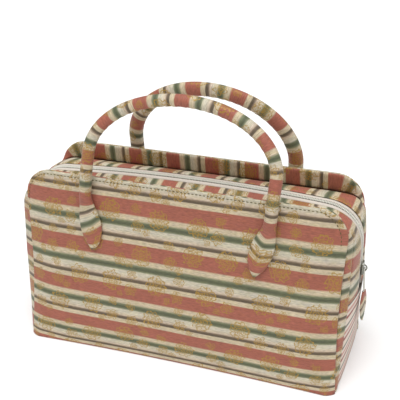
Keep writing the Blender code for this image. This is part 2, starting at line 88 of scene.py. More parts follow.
# Envelope between the panels, as in the frame's source
SEAM_DROP = 0.018
SEAM_BACK = 0.0075
STRIP_THICKNESS = 0.0015
End = namedtuple("End", "seam_out floor_out seam_corner crest_corner")
LEFT_END = End(0.0105, 0.0060, 0.024, 0.040)
RIGHT_END = End(0.0035, 0.0005, 0.014, 0.036)
SEAM_FLARE = 1.25
RIM_FLARE = 1.5
FLARE_RUN = 0.5
CREST_RISE = 0.0125
CREST_OUT = 0.004
CREST_CROWN = 0.005
TENT_POWER = 1.5
ZIP_FOOT = 0.080
TAPE_REACH = 0.008
TAPE_DROP = 0.0008
TAPE_THICKNESS = 0.0012
COIL_HALF_WIDTH = 0.0025
GAP = 0.0003
PIVOT_X = HALF_LENGTH - PANEL_CORNER
PIVOT_Z = PANEL_HEIGHT - PIVOT_DROP

# Handles, as in the frame's source
LEAF_TIP_HEIGHT = 0.103
LEAF_LENGTH = 0.055
LEAF_HALF_WIDTH = 0.0108
LEAF_HALF_THICKNESS = 0.002
LEAF_TIP_IN = 0.009
HANDLE_LEAN = 0.30
HANDLE_LEAN_ABOVE_RIDGE = 0.006
Handle = namedtuple("Handle", "name side foot_centre centre half_span spring apex half_width half_thickness")
HANDLES = (
    Handle("handle_front", -1, -0.0030, 0.0028, 0.0862, 0.192, 0.2455, 0.0055, 0.0055),
    Handle("handle_back", 1, 0.0040, 0.0065, 0.0790, 0.175, 0.2412, 0.0070, 0.0050),
)
LeafSection = namedtuple("LeafSection", "along leaf swell")
LEAF_SECTIONS = (
    LeafSection(0.00, 0.14, 0.00),
    LeafSection(0.06, 0.45, 0.00),
    LeafSection(0.18, 0.80, 0.00),
    LeafSection(0.36, 1.00, 0.00),
    LeafSection(0.55, 0.95, 0.05),
    LeafSection(0.72, 0.78, 0.30),
    LeafSection(0.86, 0.66, 0.65),
    LeafSection(1.00, 0.65, 1.00),
)

# Leaf-shaped pull, as in the frame's source
PULL_TAB_HALF_WIDTH = 0.008
PULL_TAB_HALF_THICKNESS = 0.0015
PULL_TAB_TURN = math.radians(9)

# Where the cloth's stripes lie: height on a panel against place across the stripes of the cloth.
# The stripes close up a little towards the floor, where the cloth turns under.
StripeLevel = namedtuple("StripeLevel", "height place")
STRIPE_LEVELS = (
    StripeLevel(0.000, 0.170),
    StripeLevel(0.007, 0.159),
    StripeLevel(0.032, 0.126),
    StripeLevel(0.070, 0.084),
    StripeLevel(0.170, -0.016),
)

# One repeat of the cloth's stripes, from the top of a red band down. Between two places the colours
# run into each other.
STRIPE_REPEAT = 0.042
Stripe = namedtuple("Stripe", "place colour")
STRIPES = (
    Stripe(0.0000, "red"),
    Stripe(0.0134, "red"),
    Stripe(0.0149, "cream"),
    Stripe(0.0184, "cream"),
    Stripe(0.0204, "green"),
    Stripe(0.0222, "deep_green"),
    Stripe(0.0234, "deep_green"),
    Stripe(0.0250, "green"),
    Stripe(0.0264, "pale"),
    Stripe(0.0290, "pale"),
    Stripe(0.0326, "blush"),
    Stripe(0.0340, "brown"),
    Stripe(0.0350, "dark"),
    Stripe(0.0366, "dark"),
    Stripe(0.0374, "cream"),
    Stripe(0.0412, "cream"),
    Stripe(0.0420, "red"),
)


def srgb(red, green, blue):
    """Linear colour of a display colour given in 0 to 255."""
    def channel(value):
        share = value / 255
        return share / 12.92 if share <= 0.04045 else ((share + 0.055) / 1.055) ** 2.4
    return channel(red), channel(green), channel(blue), 1.0


# Settings of the add-on


class ClothColours(bpy.types.PropertyGroup):
    """Colours of the brocade, thread and zip."""

    red: FloatVectorProperty(
        name="Red", description="Broad red bands", subtype="COLOR", size=4, default=srgb(156, 89, 70))
    cream: FloatVectorProperty(
        name="Cream", description="Cream stripes", subtype="COLOR", size=4, default=srgb(194, 178, 148))
    green: FloatVectorProperty(
        name="Green", description="Green stripes", subtype="COLOR", size=4, default=srgb(109, 114, 84))
    deep_green: FloatVectorProperty(
        name="Deep green", description="Middle of the green stripes", subtype="COLOR", size=4,
        default=srgb(82, 86, 60))
    pale: FloatVectorProperty(
        name="Pale", description="Pale bands", subtype="COLOR", size=4, default=srgb(194, 186, 164))
    blush: FloatVectorProperty(
        name="Blush", description="Lower side of the pale bands", subtype="COLOR", size=4,
        default=srgb(195, 176, 152))
    brown: FloatVectorProperty(
        name="Brown", description="Upper side of the dark stripes", subtype="COLOR", size=4,
        default=srgb(120, 101, 81))
    dark: FloatVectorProperty(
        name="Dark", description="Dark brown stripes", subtype="COLOR", size=4, default=srgb(91, 77, 58))
    gold: FloatVectorProperty(
        name="Gold", description="Gold weft of the flowers", subtype="COLOR", size=4,
        default=srgb(164, 128, 46))
    thread: FloatVectorProperty(
        name="Thread", description="Topstitching", subtype="COLOR", size=4, default=srgb(92, 80, 40))
    tape: FloatVectorProperty(
        name="Tape", description="Zip tapes", subtype="COLOR", size=4, default=srgb(210, 200, 188))
    coil: FloatVectorProperty(
        name="Coil", description="Zip coil", subtype="COLOR", size=4, default=srgb(208, 206, 194))
    metal: FloatVectorProperty(
        name="Metal", description="Slider", subtype="COLOR", size=4, default=srgb(150, 150, 142))


class ClothSizes(bpy.types.PropertyGroup):
    """Sizes of the woven pattern, the folds and the stitches."""

    flower_row: FloatProperty(
        name="Flower rows", description="Distance between rows of woven flowers", unit="LENGTH",
        default=0.032)
    flower_step: FloatProperty(
        name="Flower step", description="Distance between flowers in a row", unit="LENGTH", default=0.048)
    thread_pitch: FloatProperty(
        name="Weave", description="Distance between threads", unit="LENGTH", default=0.0006)
    ripple: FloatProperty(
        name="Ripple", description="Height of soft ripples in the panels", unit="LENGTH", default=0.00035)
    stitch_inset: FloatProperty(
        name="Stitch inset", description="Topstitching to the panel's edge", unit="LENGTH",
        default=0.0028)
    stitch_drift: FloatProperty(
        name="Stitch drift", description="How much further in it runs down the right side",
        unit="LENGTH", default=0.0027)
    stitch_pitch: FloatProperty(
        name="Stitch pitch", description="Distance between stitches", unit="LENGTH", default=0.0035)
    stitch_length: FloatProperty(
        name="Stitch length", description="Length of a stitch", unit="LENGTH", default=0.0023)
    stitch_width: FloatProperty(
        name="Stitch width", description="Thickness of the thread", unit="LENGTH", default=0.0008)
    tooth_pitch: FloatProperty(
        name="Tooth pitch", description="Distance between turns of the zip's coil", unit="LENGTH",
        default=0.0014)
    seed: IntProperty(name="Seed", description="Seed of what varies at random", default=7)


class StageSettings(bpy.types.PropertyGroup):
    """Camera and light."""

    place: FloatVectorProperty(
        name="Camera", description="Place of the camera", subtype="XYZ", unit="LENGTH",
        default=(0.2524, -0.6556, 0.4885))
    azimuth: FloatProperty(
        name="Azimuth", description="Turn of the camera round the bag", subtype="ANGLE",
        default=math.radians(20.51))
    elevation: FloatProperty(
        name="Elevation", description="Height of the camera's view", subtype="ANGLE",
        default=math.radians(26.3))
    roll: FloatProperty(
        name="Roll", description="Tilt of the picture", subtype="ANGLE", default=math.radians(-1.26))
    lens: FloatProperty(
        name="Lens", description="Focal length in millimetres", subtype="DISTANCE_CAMERA", default=76.79)
    floor: FloatVectorProperty(
        name="Floor", description="Floor", subtype="COLOR", size=4, default=(0.9, 0.9, 0.9, 1.0))
    light: FloatProperty(name="Light", description="Strength of the overhead light", default=3.2)
    light_breadth: FloatProperty(
        name="Light breadth", description="How broad the overhead light looks from the bag",
        subtype="ANGLE", default=math.radians(60))
    light_height: FloatProperty(
        name="Light height", description="Height of the overhead light", subtype="ANGLE",
        default=math.radians(78))
    light_turn: FloatProperty(
        name="Light turn", description="Turn of the overhead light round the bag", subtype="ANGLE",
        default=math.radians(10))
    room: FloatProperty(name="Room", description="Strength of the light from all sides", default=0.34)


class HandbagSettings(bpy.types.PropertyGroup):
    """All settings of the handbag."""

    colours: PointerProperty(type=ClothColours)
    sizes: PointerProperty(type=ClothSizes)
    stage: PointerProperty(type=StageSettings)


def colours():
    """Colour settings."""
    return bpy.context.scene.handbag.colours


def sizes():
    """Size settings."""
    return bpy.context.scene.handbag.sizes


# Shapes that the frame's source states too


def mix(a, b, share):
    """Value between a and b."""
    return a + (b - a) * share


def smooth(share):
    """Smooth step from 0 to 1, held flat outside."""
    share = min(max(share, 0.0), 1.0)
    return share * share * (3 - 2 * share)


def recess(x, z):
    """How far a panel draws back near its side edges."""
    heights = [row.height * PANEL_HEIGHT for row in RECESSES]
    depth = np.interp(z, heights, [row.depth for row in RECESSES])
    run = np.interp(z, heights, [row.run for row in RECESSES])
    share = (abs(x) - (HALF_LENGTH - run)) / run
    return depth * min(max(share, 0.0), 1.0) ** 2


def half_depth(z):
    """Half depth over the panels at a height, in the middle of the bag."""
    return mix(BASE_HALF_DEPTH, RIDGE_HALF_DEPTH, z / PANEL_HEIGHT)


def panel_depth(x, z):
    """Half depth over the panels at any place."""
    low = max(1 - z / FOOT_BOW_HEIGHT, 0.0)
    bow = FOOT_BOW * low ** 2 * max(1 - (x / HALF_LENGTH) ** 2, 0.0)
    return half_depth(z) - recess(x, z) - bow


def arch_point(half, top, corner, station):
    """(x, z) where an arch with a round corner meets a station."""
    side = math.copysign(1.0, station)
    s = abs(station)
    run = half - corner
    knee = top - corner
    if s <= 1:
        x = PIVOT_X * s
        return side * x, knee + math.sqrt(corner ** 2 - max(x - run, 0.0) ** 2)
    if s >= 2:
        z = mix(PIVOT_Z, ZIP_FOOT, s - 2) if s <= 3 else mix(ZIP_FOOT, 0.0, s - 3)
        return side * (run + math.sqrt(corner ** 2 - max(z - knee, 0.0) ** 2)), z
    angle = (2 - s) * math.pi / 2
    across, up = math.cos(angle), math.sin(angle)
    top_x = PIVOT_X + (top - PIVOT_Z) * across / up
    leg_z = PIVOT_Z + (half - PIVOT_X) * up / across
    if top_x <= run:
        return side * top_x, top
    if leg_z <= knee:
        return side * half, leg_z
    ahead = (run - PIVOT_X) * across + (knee - PIVOT_Z) * up
    away = (run - PIVOT_X) ** 2 + (knee - PIVOT_Z) ** 2
    reach = ahead + math.sqrt(ahead ** 2 - away + corner ** 2)
    return side * (PIVOT_X + reach * across), PIVOT_Z + reach * up


def waist(z):
    """How far a panel's side edges are drawn in at a height."""
    knee = PANEL_HEIGHT - PANEL_CORNER
    return PANEL_WAIST * math.sin(math.pi * z / knee) if z < knee else 0.0


def rim_point(station):
    """(x, z) on a panel's edge."""
    x, z = arch_point(HALF_LENGTH, PANEL_HEIGHT, PANEL_CORNER, station)
    return x - math.copysign(waist(z), x), z


def flare(station, start):
    """0 along the top, where the facing lines the ridge, to 1 on the ends, where it flares out."""
    return smooth((abs(station) - start) / FLARE_RUN)


def end_of(station):
    """Shape of the bag's end on a station's side."""
    return LEFT_END if station < 0 else RIGHT_END


def low_share(station):
    """0 at the foot of the zip and above, to 1 at the floor."""
    return max(abs(station) - 3, 0.0)


def seam_point(station):
    """(x, half depth, z) of the seam on the inner edge of a facing."""
    end = end_of(station)
    x, z = arch_point(HALF_LENGTH + end.seam_out, PANEL_HEIGHT - SEAM_DROP, end.seam_corner, station)
    x -= math.copysign((end.seam_out - end.floor_out) * low_share(station), station)
    tucked = panel_depth(x, z) - PANEL_THICKNESS - GAP - STRIP_THICKNESS
    flared = panel_depth(x, z) - PANEL_THICKNESS - SEAM_BACK
    return x, mix(tucked, flared, flare(station, SEAM_FLARE)), z


def crest_point(station):
    """(x, z) of the crest, which carries the zip down to its foot and lies flat at the floor."""
    end = end_of(station)
    half = HALF_LENGTH + end.seam_out + CREST_OUT
    top = PANEL_HEIGHT - SEAM_DROP + CREST_RISE
    x, z = arch_point(half, top - CREST_CROWN, end.crest_corner, station)
    z += CREST_CROWN * (1 - min(abs(station), 1.0) ** 2)
    x -= math.copysign((end.seam_out - end.floor_out + CREST_OUT) * low_share(station), station)
    return x, z


def facing_rim(station):
    """Point on the front facing's outer edge, just behind the panel's edge."""
    x, z = rim_point(station)
    lining = STRIP_THICKNESS * (1 - flare(station, RIM_FLARE))
    return x, -(panel_depth(x, z) - PANEL_THICKNESS - GAP - lining), z


def tent_point(station, share):
    """Point of the tent, from the crest (share 0) to the front seam (share 1)."""
    seam_x, reach, seam_z = seam_point(station)
    crest_x, crest_z = crest_point(station)
    fall = abs(share) ** TENT_POWER
    return mix(crest_x, seam_x, fall), -reach * share, mix(crest_z, seam_z, fall)


# Mesh helpers


def unit(vectors):
    """Vectors at length one."""
    return vectors / np.maximum(np.linalg.norm(vectors, axis=-1, keepdims=True), 1e-12)


def grid_normals(grid):
    """Smooth outward direction at each point of a grid whose rows run along the bag."""
    return unit(np.cross(np.gradient(grid, axis=0), np.gradient(grid, axis=1)))


def linked(name, data):
    """New object in the scene."""
    piece = bpy.data.objects.new(name, data)
    bpy.context.scene.collection.objects.link(piece)
    return piece


def object_of(name, bm, material):
    """Object from a bmesh, shaded smooth, with one material."""
    mesh = bpy.data.meshes.new(name)
    bm.to_mesh(mesh)
    bm.free()
    mesh.shade_smooth()
    mesh.materials.append(material)
    return linked(name, mesh)


def shell_between(name, outer, inner, places, material):
    """Closed wall between two grids of points, with the cloth's places as its UV map."""
    rows, columns = outer.shape[:2]
    bm = bmesh.new()
    uv = bm.loops.layers.uv.new("cloth")
    place_of = {}

    def add(grid):
        made = []
        for i in range(rows):
            made.append([bm.verts.new(grid[i, j]) for j in range(columns)])
            for j, vertex in enumerate(made[-1]):
                place_of[vertex] = places[i, j]
        return made

    front, back = add(outer), add(inner)
    for i in range(rows - 1):
        for j in range(columns - 1):
            bm.faces.new((front[i][j], front[i][j + 1], front[i + 1][j + 1], front[i + 1][j]))
            bm.faces.new((back[i][j], back[i + 1][j], back[i + 1][j + 1], back[i][j + 1]))
    border = [(0, j) for j in range(columns)]
    border += [(i, columns - 1) for i in range(1, rows)]
    border += [(rows - 1, j) for j in range(columns - 2, -1, -1)]
    border += [(i, 0) for i in range(rows - 2, 0, -1)]
    for (i, j), (k, m) in zip(border, border[1:] + border[:1]):
        bm.faces.new((front[i][j], back[i][j], back[k][m], front[k][m]))
    for face in bm.faces:
        for loop in face.loops:
            loop[uv].uv = place_of[loop.vert]
    bmesh.ops.recalc_face_normals(bm, faces=bm.faces)
    return object_of(name, bm, material)


def tube_through(name, rings, places, material):
    """Closed tube through rings of points, with a UV place for each point and rounded flat ends."""
    bm = bmesh.new()
    uv = bm.loops.layers.uv.new("cloth")
    sides = len(rings[0])
    loops = [[bm.verts.new(point) for point in ring] for ring in rings]
    for i in range(len(loops) - 1):
        for k in range(sides):
            m = (k + 1) % sides
            face = bm.faces.new((loops[i][k], loops[i][m], loops[i + 1][m], loops[i + 1][k]))
            corners = (places[i][k], places[i][k + 1], places[i + 1][k + 1], places[i + 1][k])
            for loop, place in zip(face.loops, corners):
                loop[uv].uv = place
    for end, row in ((0, loops[0]), (-1, loops[-1])):
        face = bm.faces.new(row)
        for loop in face.loops:
            loop[uv].uv = places[end][0]
    bmesh.ops.recalc_face_normals(bm, faces=bm.faces)
    return object_of(name, bm, material)


def line_object(name, points):
    """Mesh of one open line, which a node tree turns into stitches."""
    mesh = bpy.data.meshes.new(name)
    mesh.from_pydata([tuple(p) for p in points], [(k, k + 1) for k in range(len(points) - 1)], [])
    return linked(name, mesh)


def keep(piece, slot, *nodes):
    """A finished piece rides on the bag and stands for its CAD nodes, which are hidden; its slot is not used.
    """
    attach(piece, "root")
    if nodes:
        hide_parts(*nodes)
    return piece


def path_lengths(points):
    """Length along a line of points, from its first."""
    steps = np.linalg.norm(np.diff(np.array(points), axis=0), axis=1)
    return np.concatenate([[0.0], np.cumsum(steps)])


# Material helpers


def new_material(name):
    """Empty material with its shader, and its node tree."""
    material = bpy.data.materials.new(name)
    material.use_nodes = True
    return material, material.node_tree, material.node_tree.nodes["Principled BSDF"]


def add_node(tree, kind, inputs=(), **settings):
    """Node with its settings and inputs, where an input is a value or another node's output."""
    node = tree.nodes.new(kind)
    for key, value in settings.items():
        setattr(node, key, value)
    for key, value in dict(inputs).items():
        if isinstance(value, bpy.types.NodeSocket):
            tree.links.new(value, node.inputs[key])
        else:
            node.inputs[key].default_value = value
    return node


def maths(tree, operation, *values):
    """Output of a Math node."""
    return add_node(tree, "ShaderNodeMath", enumerate(values), operation=operation).outputs[0]


def blend(tree, factor, first, second, mode="MIX"):
    """Colour output that mixes two colours."""
    node = add_node(tree, "ShaderNodeMix", data_type="RGBA", blend_type=mode)
    for socket, value in ((node.inputs[0], factor), (node.inputs[6], first), (node.inputs[7], second)):
        if isinstance(value, bpy.types.NodeSocket):
            tree.links.new(value, socket)
        else:
            socket.default_value = value
    return node.outputs[2]


def tinted(tree, colour, tone, blue_tone=None):
    """Colour made lighter or darker by a tone, which can differ for its blue part."""
    tones = add_node(tree, "ShaderNodeCombineXYZ", {
        0: tone, 1: tone, 2: tone if blue_tone is None else blue_tone})
    return blend(tree, 1.0, colour, tones.outputs[0], "MULTIPLY")


def ramp_colour(tree, place, repeat, stops):
    """Colour that repeats over a length, from the share of the repeat and the colour of each stop."""
    share = maths(tree, "FRACT", maths(tree, "DIVIDE", place, repeat))
    ramp = add_node(tree, "ShaderNodeValToRGB", {"Fac": share})
    elements = ramp.color_ramp.elements
    while len(elements) < len(stops):
        elements.new(0.5)
    for element, (start, colour) in zip(elements, stops):
        element.position = start
        element.color = colour
    return ramp.outputs["Color"]


def half_waves(tree, place, pitch):
    """0 to 1 and back once in each pitch, rounded at the top."""
    return maths(tree, "ABSOLUTE", maths(tree, "SINE", maths(tree, "MULTIPLY", place, math.pi / pitch)))


def group_tree(name, inputs, outputs):
    """Shader node group with float inputs and outputs, and its two end nodes."""
    tree = bpy.data.node_groups.new(name, "ShaderNodeTree")
    for socket in inputs:
        tree.interface.new_socket(socket, in_out="INPUT", socket_type="NodeSocketFloat")
    for socket in outputs:
        tree.interface.new_socket(socket, in_out="OUTPUT", socket_type="NodeSocketFloat")
    return tree, tree.nodes.new("NodeGroupInput"), tree.nodes.new("NodeGroupOutput")


# Cloths

# Rings of petals of one flower, from outside in, as shares of its radius. Petals of a turned ring
# lie between those of the next.
PetalRing = namedtuple("PetalRing", "radius bulge turned line")
PETAL_RINGS = (
    PetalRing(0.82, 0.18, False, 0.070),
    PetalRing(0.52, 0.12, True, 0.065),
    PetalRing(0.30, 0.05, False, 0.050),
)
PETAL_SEAM = 0.26
FLOWER_HEART = 0.15
FLOWER_GROUND = 0.22


def flower_group():
    """One round woven flower drawn in lines: rings of petals about a heart, on a thin gold ground."""
    tree, start, end = group_tree("woven_flower", ("U", "V", "Radius", "Petals"), ("Mask",))
    u, v, radius, petals = start.outputs[0:4]
    distance = maths(tree, "SQRT", maths(tree, "ADD", maths(tree, "MULTIPLY", u, u),
                                         maths(tree, "MULTIPLY", v, v)))
    share = maths(tree, "DIVIDE", distance, radius)
    turn = maths(tree, "MULTIPLY", maths(tree, "ARCTAN2", v, u), maths(tree, "MULTIPLY", petals, 0.5))
    mask = maths(tree, "LESS_THAN", share, FLOWER_HEART)
    inner_edges = [ring.radius for ring in PETAL_RINGS[1:]] + [FLOWER_HEART]
    for ring, inner_edge in zip(PETAL_RINGS, inner_edges):
        wave = maths(tree, "ABSOLUTE", maths(tree, "SINE" if ring.turned else "COSINE", turn))
        outline = maths(tree, "ADD", ring.radius, maths(tree, "MULTIPLY", wave, ring.bulge))
        off_outline = maths(tree, "ABSOLUTE", maths(tree, "SUBTRACT", share, outline))
        tips = maths(tree, "LESS_THAN", off_outline, ring.line)
        within = maths(tree, "MULTIPLY", maths(tree, "LESS_THAN", share, outline),
                       maths(tree, "GREATER_THAN", share, inner_edge))
        seams = maths(tree, "MULTIPLY", within, maths(tree, "LESS_THAN", wave, PETAL_SEAM))
        mask = maths(tree, "MAXIMUM", mask, maths(tree, "MAXIMUM", tips, seams))
    ground = maths(tree, "MULTIPLY", maths(tree, "LESS_THAN", share, PETAL_RINGS[0].radius), FLOWER_GROUND)
    tree.links.new(maths(tree, "MAXIMUM", mask, ground), end.inputs[0])
    return tree


# Flowers in millimetres round the middle of a cell of the pattern, and how far each one strays.
# Row shift is how much of a cell each row lies further along than the row before.
Flower = namedtuple("Flower", "u v radius petals stray")
SPRAY = (
    Flower(-7.0, 0.0, 9.4, 10, 5.0),
    Flower(13.5, 7.5, 5.8, 6, 3.0),
    Flower(15.0, -8.5, 4.4, 5, 3.0),
    Flower(4.0, 13.0, 3.6, 5, 2.0),
)
ROW_SHIFT = 0.37


def cell_place(tree, value, index, pitch):
    """Place within a cell of the pattern, from its middle."""
    return maths(tree, "SUBTRACT", maths(tree, "SUBTRACT", value, maths(tree, "MULTIPLY", index, pitch)),
                 maths(tree, "MULTIPLY", pitch, 0.5))


def spray_group():
    """Woven flowers strewn over staggered cells. U and V are in millimetres on the cloth."""
    flower = flower_group()
    tree, start, end = group_tree("woven_sprays", ("U", "V", "Row", "Step"), ("Mask",))
    u, v, row_pitch, step = start.outputs[0:4]
    row = maths(tree, "FLOOR", maths(tree, "DIVIDE", v, row_pitch))
    moved = maths(tree, "ADD", u, maths(tree, "MULTIPLY", maths(tree, "MULTIPLY", row, step), ROW_SHIFT))
    column = maths(tree, "FLOOR", maths(tree, "DIVIDE", moved, step))
    cell = add_node(tree, "ShaderNodeCombineXYZ", {0: column, 1: row}).outputs[0]
    chance = add_node(tree, "ShaderNodeTexWhiteNoise", {"Vector": cell}, noise_dimensions="2D")
    channels = add_node(tree, "ShaderNodeSeparateXYZ", {0: chance.outputs["Color"]}).outputs
    side = maths(tree, "SIGN", maths(tree, "SUBTRACT", chance.outputs["Value"], 0.5))
    local_u = maths(tree, "MULTIPLY", cell_place(tree, moved, column, step), side)
    local_v = cell_place(tree, v, row, row_pitch)
    mask = 0.0
    for item in SPRAY:
        drawn = add_node(tree, "ShaderNodeGroup", node_tree=flower)
        for socket, place, middle, draw in (("U", local_u, item.u, channels[0]),
                                            ("V", local_v, item.v, channels[1])):
            stray = maths(tree, "MULTIPLY", maths(tree, "SUBTRACT", draw, 0.5), 2 * item.stray)
            tree.links.new(maths(tree, "SUBTRACT", maths(tree, "SUBTRACT", place, middle), stray),
                           drawn.inputs[socket])
        drawn.inputs["Radius"].default_value = item.radius
        drawn.inputs["Petals"].default_value = item.petals
        mask = maths(tree, "MAXIMUM", drawn.outputs[0], mask)
    tree.links.new(mask, end.inputs["Mask"])
    return tree


def weave_height(tree, u, v):
    """Height of crossing threads, 0 to 1, from places in metres."""
    pitch = sizes().thread_pitch
    crossed = maths(tree, "ADD", half_waves(tree, u, pitch), half_waves(tree, v, pitch))
    return maths(tree, "MULTIPLY", crossed, 0.5)


def slub(tree, u, v, along, across, detail=3.0):
    """Uneven threads: noise drawn out along the stripes, 0 to 1."""
    vector = add_node(tree, "ShaderNodeCombineXYZ", {
        0: maths(tree, "DIVIDE", u, along), 1: maths(tree, "DIVIDE", v, across)}).outputs[0]
    return add_node(tree, "ShaderNodeTexNoise", {"Vector": vector, "Scale": 1.0, "Detail": detail}
                    ).outputs["Fac"]


def cloth_place(tree):
    """U and V of the piece's cloth map."""
    mapped = add_node(tree, "ShaderNodeUVMap", uv_map="cloth")
    parts = add_node(tree, "ShaderNodeSeparateXYZ", {0: mapped.outputs[0]})
    return parts.outputs[0], parts.outputs[1]


def finish_cloth(tree, shader, colour, height, bump, roughness):
    """Colour, bump and silk sheen of a cloth."""
    tree.links.new(colour, shader.inputs["Base Color"])
    relief = add_node(tree, "ShaderNodeBump", {"Height": height, "Strength": 0.6, "Distance": bump})
    tree.links.new(relief.outputs[0], shader.inputs["Normal"])
    shader.inputs["Sheen Weight"].default_value = 0.12
    shader.inputs["Sheen Roughness"].default_value = 0.45
    if isinstance(roughness, bpy.types.NodeSocket):
        tree.links.new(roughness, shader.inputs["Roughness"])
    else:
        shader.inputs["Roughness"].default_value = roughness


# Uneven threads of the brocade: how long and how broad they are, detail of their noise, and how much
# they lighten the cloth, whose tone without them is the base
Slub = namedtuple("Slub", "along across detail weight")
SLUBS = (
    Slub(0.018, 0.0006, 3.0, 0.80),
    Slub(0.004, 0.0009, 2.0, 1.05),
    Slub(0.030, 0.0200, 2.0, 0.33),
)
BASE_TONE = -0.09
WARMTH = Slub(0.006, 0.0030, 2.0, 0.36)

# How the weave bends the flowers out of their round shape, with weights in millimetres, and how it
# breaks up their gold thread
FLOWER_BENDS = (Slub(0.0060, 0.0045, 1.0, 6.5), Slub(0.0045, 0.0052, 1.0, 6.5))
GOLD_BREAKS = (0.0012, 0.0009, 1.0)
GOLD_BREAK_LEVEL = 0.40
GOLD_STRENGTH = 0.80
GOLD_RELIEF = 1.5
GOLD_SHINE = 0.2
GOLD_METAL = 0.25
THREAD_RELIEF = 0.00008


def weighed_slub(tree, u, v, row, level):
    """Uneven threads above or below a level, times their weight."""
    threads = slub(tree, u, v, row.along, row.across, row.detail)
    return maths(tree, "MULTIPLY", maths(tree, "SUBTRACT", threads, level), row.weight)


def gold_flowers(tree, u, v, sprays):
    """1 where the gold weft of a flower lies on top, 0 elsewhere, and a little on its ground."""
    group = add_node(tree, "ShaderNodeGroup", node_tree=sprays)
    for socket, value, row in zip(("U", "V"), (u, v), FLOWER_BENDS):
        bend = weighed_slub(tree, u, v, row, 0.5)
        tree.links.new(maths(tree, "ADD", maths(tree, "MULTIPLY", value, 1 / MM), bend), group.inputs[socket])
    group.inputs["Row"].default_value = sizes().flower_row / MM
    group.inputs["Step"].default_value = sizes().flower_step / MM
    whole = maths(tree, "GREATER_THAN", slub(tree, u, v, *GOLD_BREAKS), GOLD_BREAK_LEVEL)
    return maths(tree, "MULTIPLY", group.outputs["Mask"], whole)


def brocade(name, sprays):
    """Striped silk brocade with sprays of flowers in gold weft."""
    material, tree, shader = new_material(name)
    u, v = cloth_place(tree)
    stripes = ramp_colour(tree, v, STRIPE_REPEAT, [
        (stripe.place / STRIPE_REPEAT, getattr(colours(), stripe.colour)) for stripe in STRIPES])
    tone = BASE_TONE
    for row in SLUBS:
        tone = maths(tree, "ADD", tone, weighed_slub(tree, u, v, row, 0.0))
    less_blue = maths(tree, "SUBTRACT", 1.0, weighed_slub(tree, u, v, WARMTH, 0.5))
    toned = tinted(tree, stripes, tone, maths(tree, "MULTIPLY", tone, less_blue))
    gold = gold_flowers(tree, u, v, sprays)
    colour = blend(tree, maths(tree, "MULTIPLY", gold, GOLD_STRENGTH), toned, colours().gold)
    height = maths(tree, "ADD", weave_height(tree, u, v), maths(tree, "MULTIPLY", gold, GOLD_RELIEF))
    roughness = maths(tree, "SUBTRACT", 0.62, maths(tree, "MULTIPLY", gold, GOLD_SHINE))
    finish_cloth(tree, shader, colour, height, THREAD_RELIEF, roughness)
    tree.links.new(maths(tree, "MULTIPLY", gold, GOLD_METAL), shader.inputs["Metallic"])
    return material


# One repeat of the pale cloth of the ends: share of the repeat and display colour
END_REPEAT = 0.021
EndStripe = namedtuple("EndStripe", "share colour")
END_STRIPES = (
    EndStripe(0.00, (222, 206, 190)),
    EndStripe(0.13, (222, 206, 190)),
    EndStripe(0.16, (150, 72, 60)),
    EndStripe(0.27, (152, 76, 64)),
    EndStripe(0.30, (218, 202, 188)),
    EndStripe(0.42, (216, 202, 188)),
    EndStripe(0.45, (196, 138, 124)),
    EndStripe(0.56, (196, 138, 124)),
    EndStripe(0.59, (224, 210, 196)),
    EndStripe(0.72, (220, 208, 194)),
    EndStripe(0.75, (116, 108, 96)),
    EndStripe(0.84, (118, 110, 98)),
    EndStripe(0.87, (222, 206, 190)),
    EndStripe(1.00, (222, 206, 190)),
)


def end_cloth(name):
    """Pale cloth of the ends with fine stripes of red, pink, grey and cream."""
    material, tree, shader = new_material(name)
    u, v = cloth_place(tree)
    stripes = ramp_colour(tree, v, END_REPEAT, [
        (stripe.share, srgb(*stripe.colour)) for stripe in END_STRIPES])
    tone = maths(tree, "ADD", 0.86, maths(tree, "MULTIPLY", slub(tree, u, v, 0.018, 0.0006), 0.2))
    finish_cloth(tree, shader, tinted(tree, stripes, tone), weave_height(tree, u, v), THREAD_RELIEF, 0.65)
    return material


def woven_tape(name, base, pitch):
    """Plain woven tape with a herringbone in its relief."""
    material, tree, shader = new_material(name)
    u, v = cloth_place(tree)
    bone = pitch * 8
    fold = maths(tree, "SUBTRACT", maths(tree, "FRACT", maths(tree, "DIVIDE", u, bone)), 0.5)
    slant = maths(tree, "ADD", maths(tree, "MULTIPLY", maths(tree, "ABSOLUTE", fold), bone), v)
    twill = half_waves(tree, slant, pitch)
    uneven = slub(tree, u, v, 0.004, 0.004)
    tone = maths(tree, "ADD", 0.84, maths(tree, "ADD", maths(tree, "MULTIPLY", uneven, 0.16),
                                         maths(tree, "MULTIPLY", twill, 0.06)))
    finish_cloth(tree, shader, tinted(tree, base, tone), twill, 0.0001, 0.7)
    return material


def object_place(tree):
    """Place on the piece in metres, as its Object coordinates."""
    return add_node(tree, "ShaderNodeTexCoord").outputs["Object"]


def plain_thread(name, base, roughness, grain):
    """Twisted thread or moulded nylon with a fine grain."""
    material, tree, shader = new_material(name)
    speckle = add_node(tree, "ShaderNodeTexNoise", {
        "Vector": object_place(tree), "Scale": grain, "Detail": 2.0}).outputs["Fac"]
    tone = maths(tree, "ADD", 0.8, maths(tree, "MULTIPLY", speckle, 0.4))
    finish_cloth(tree, shader, tinted(tree, base, tone), speckle, 0.00005, roughness)
    return material


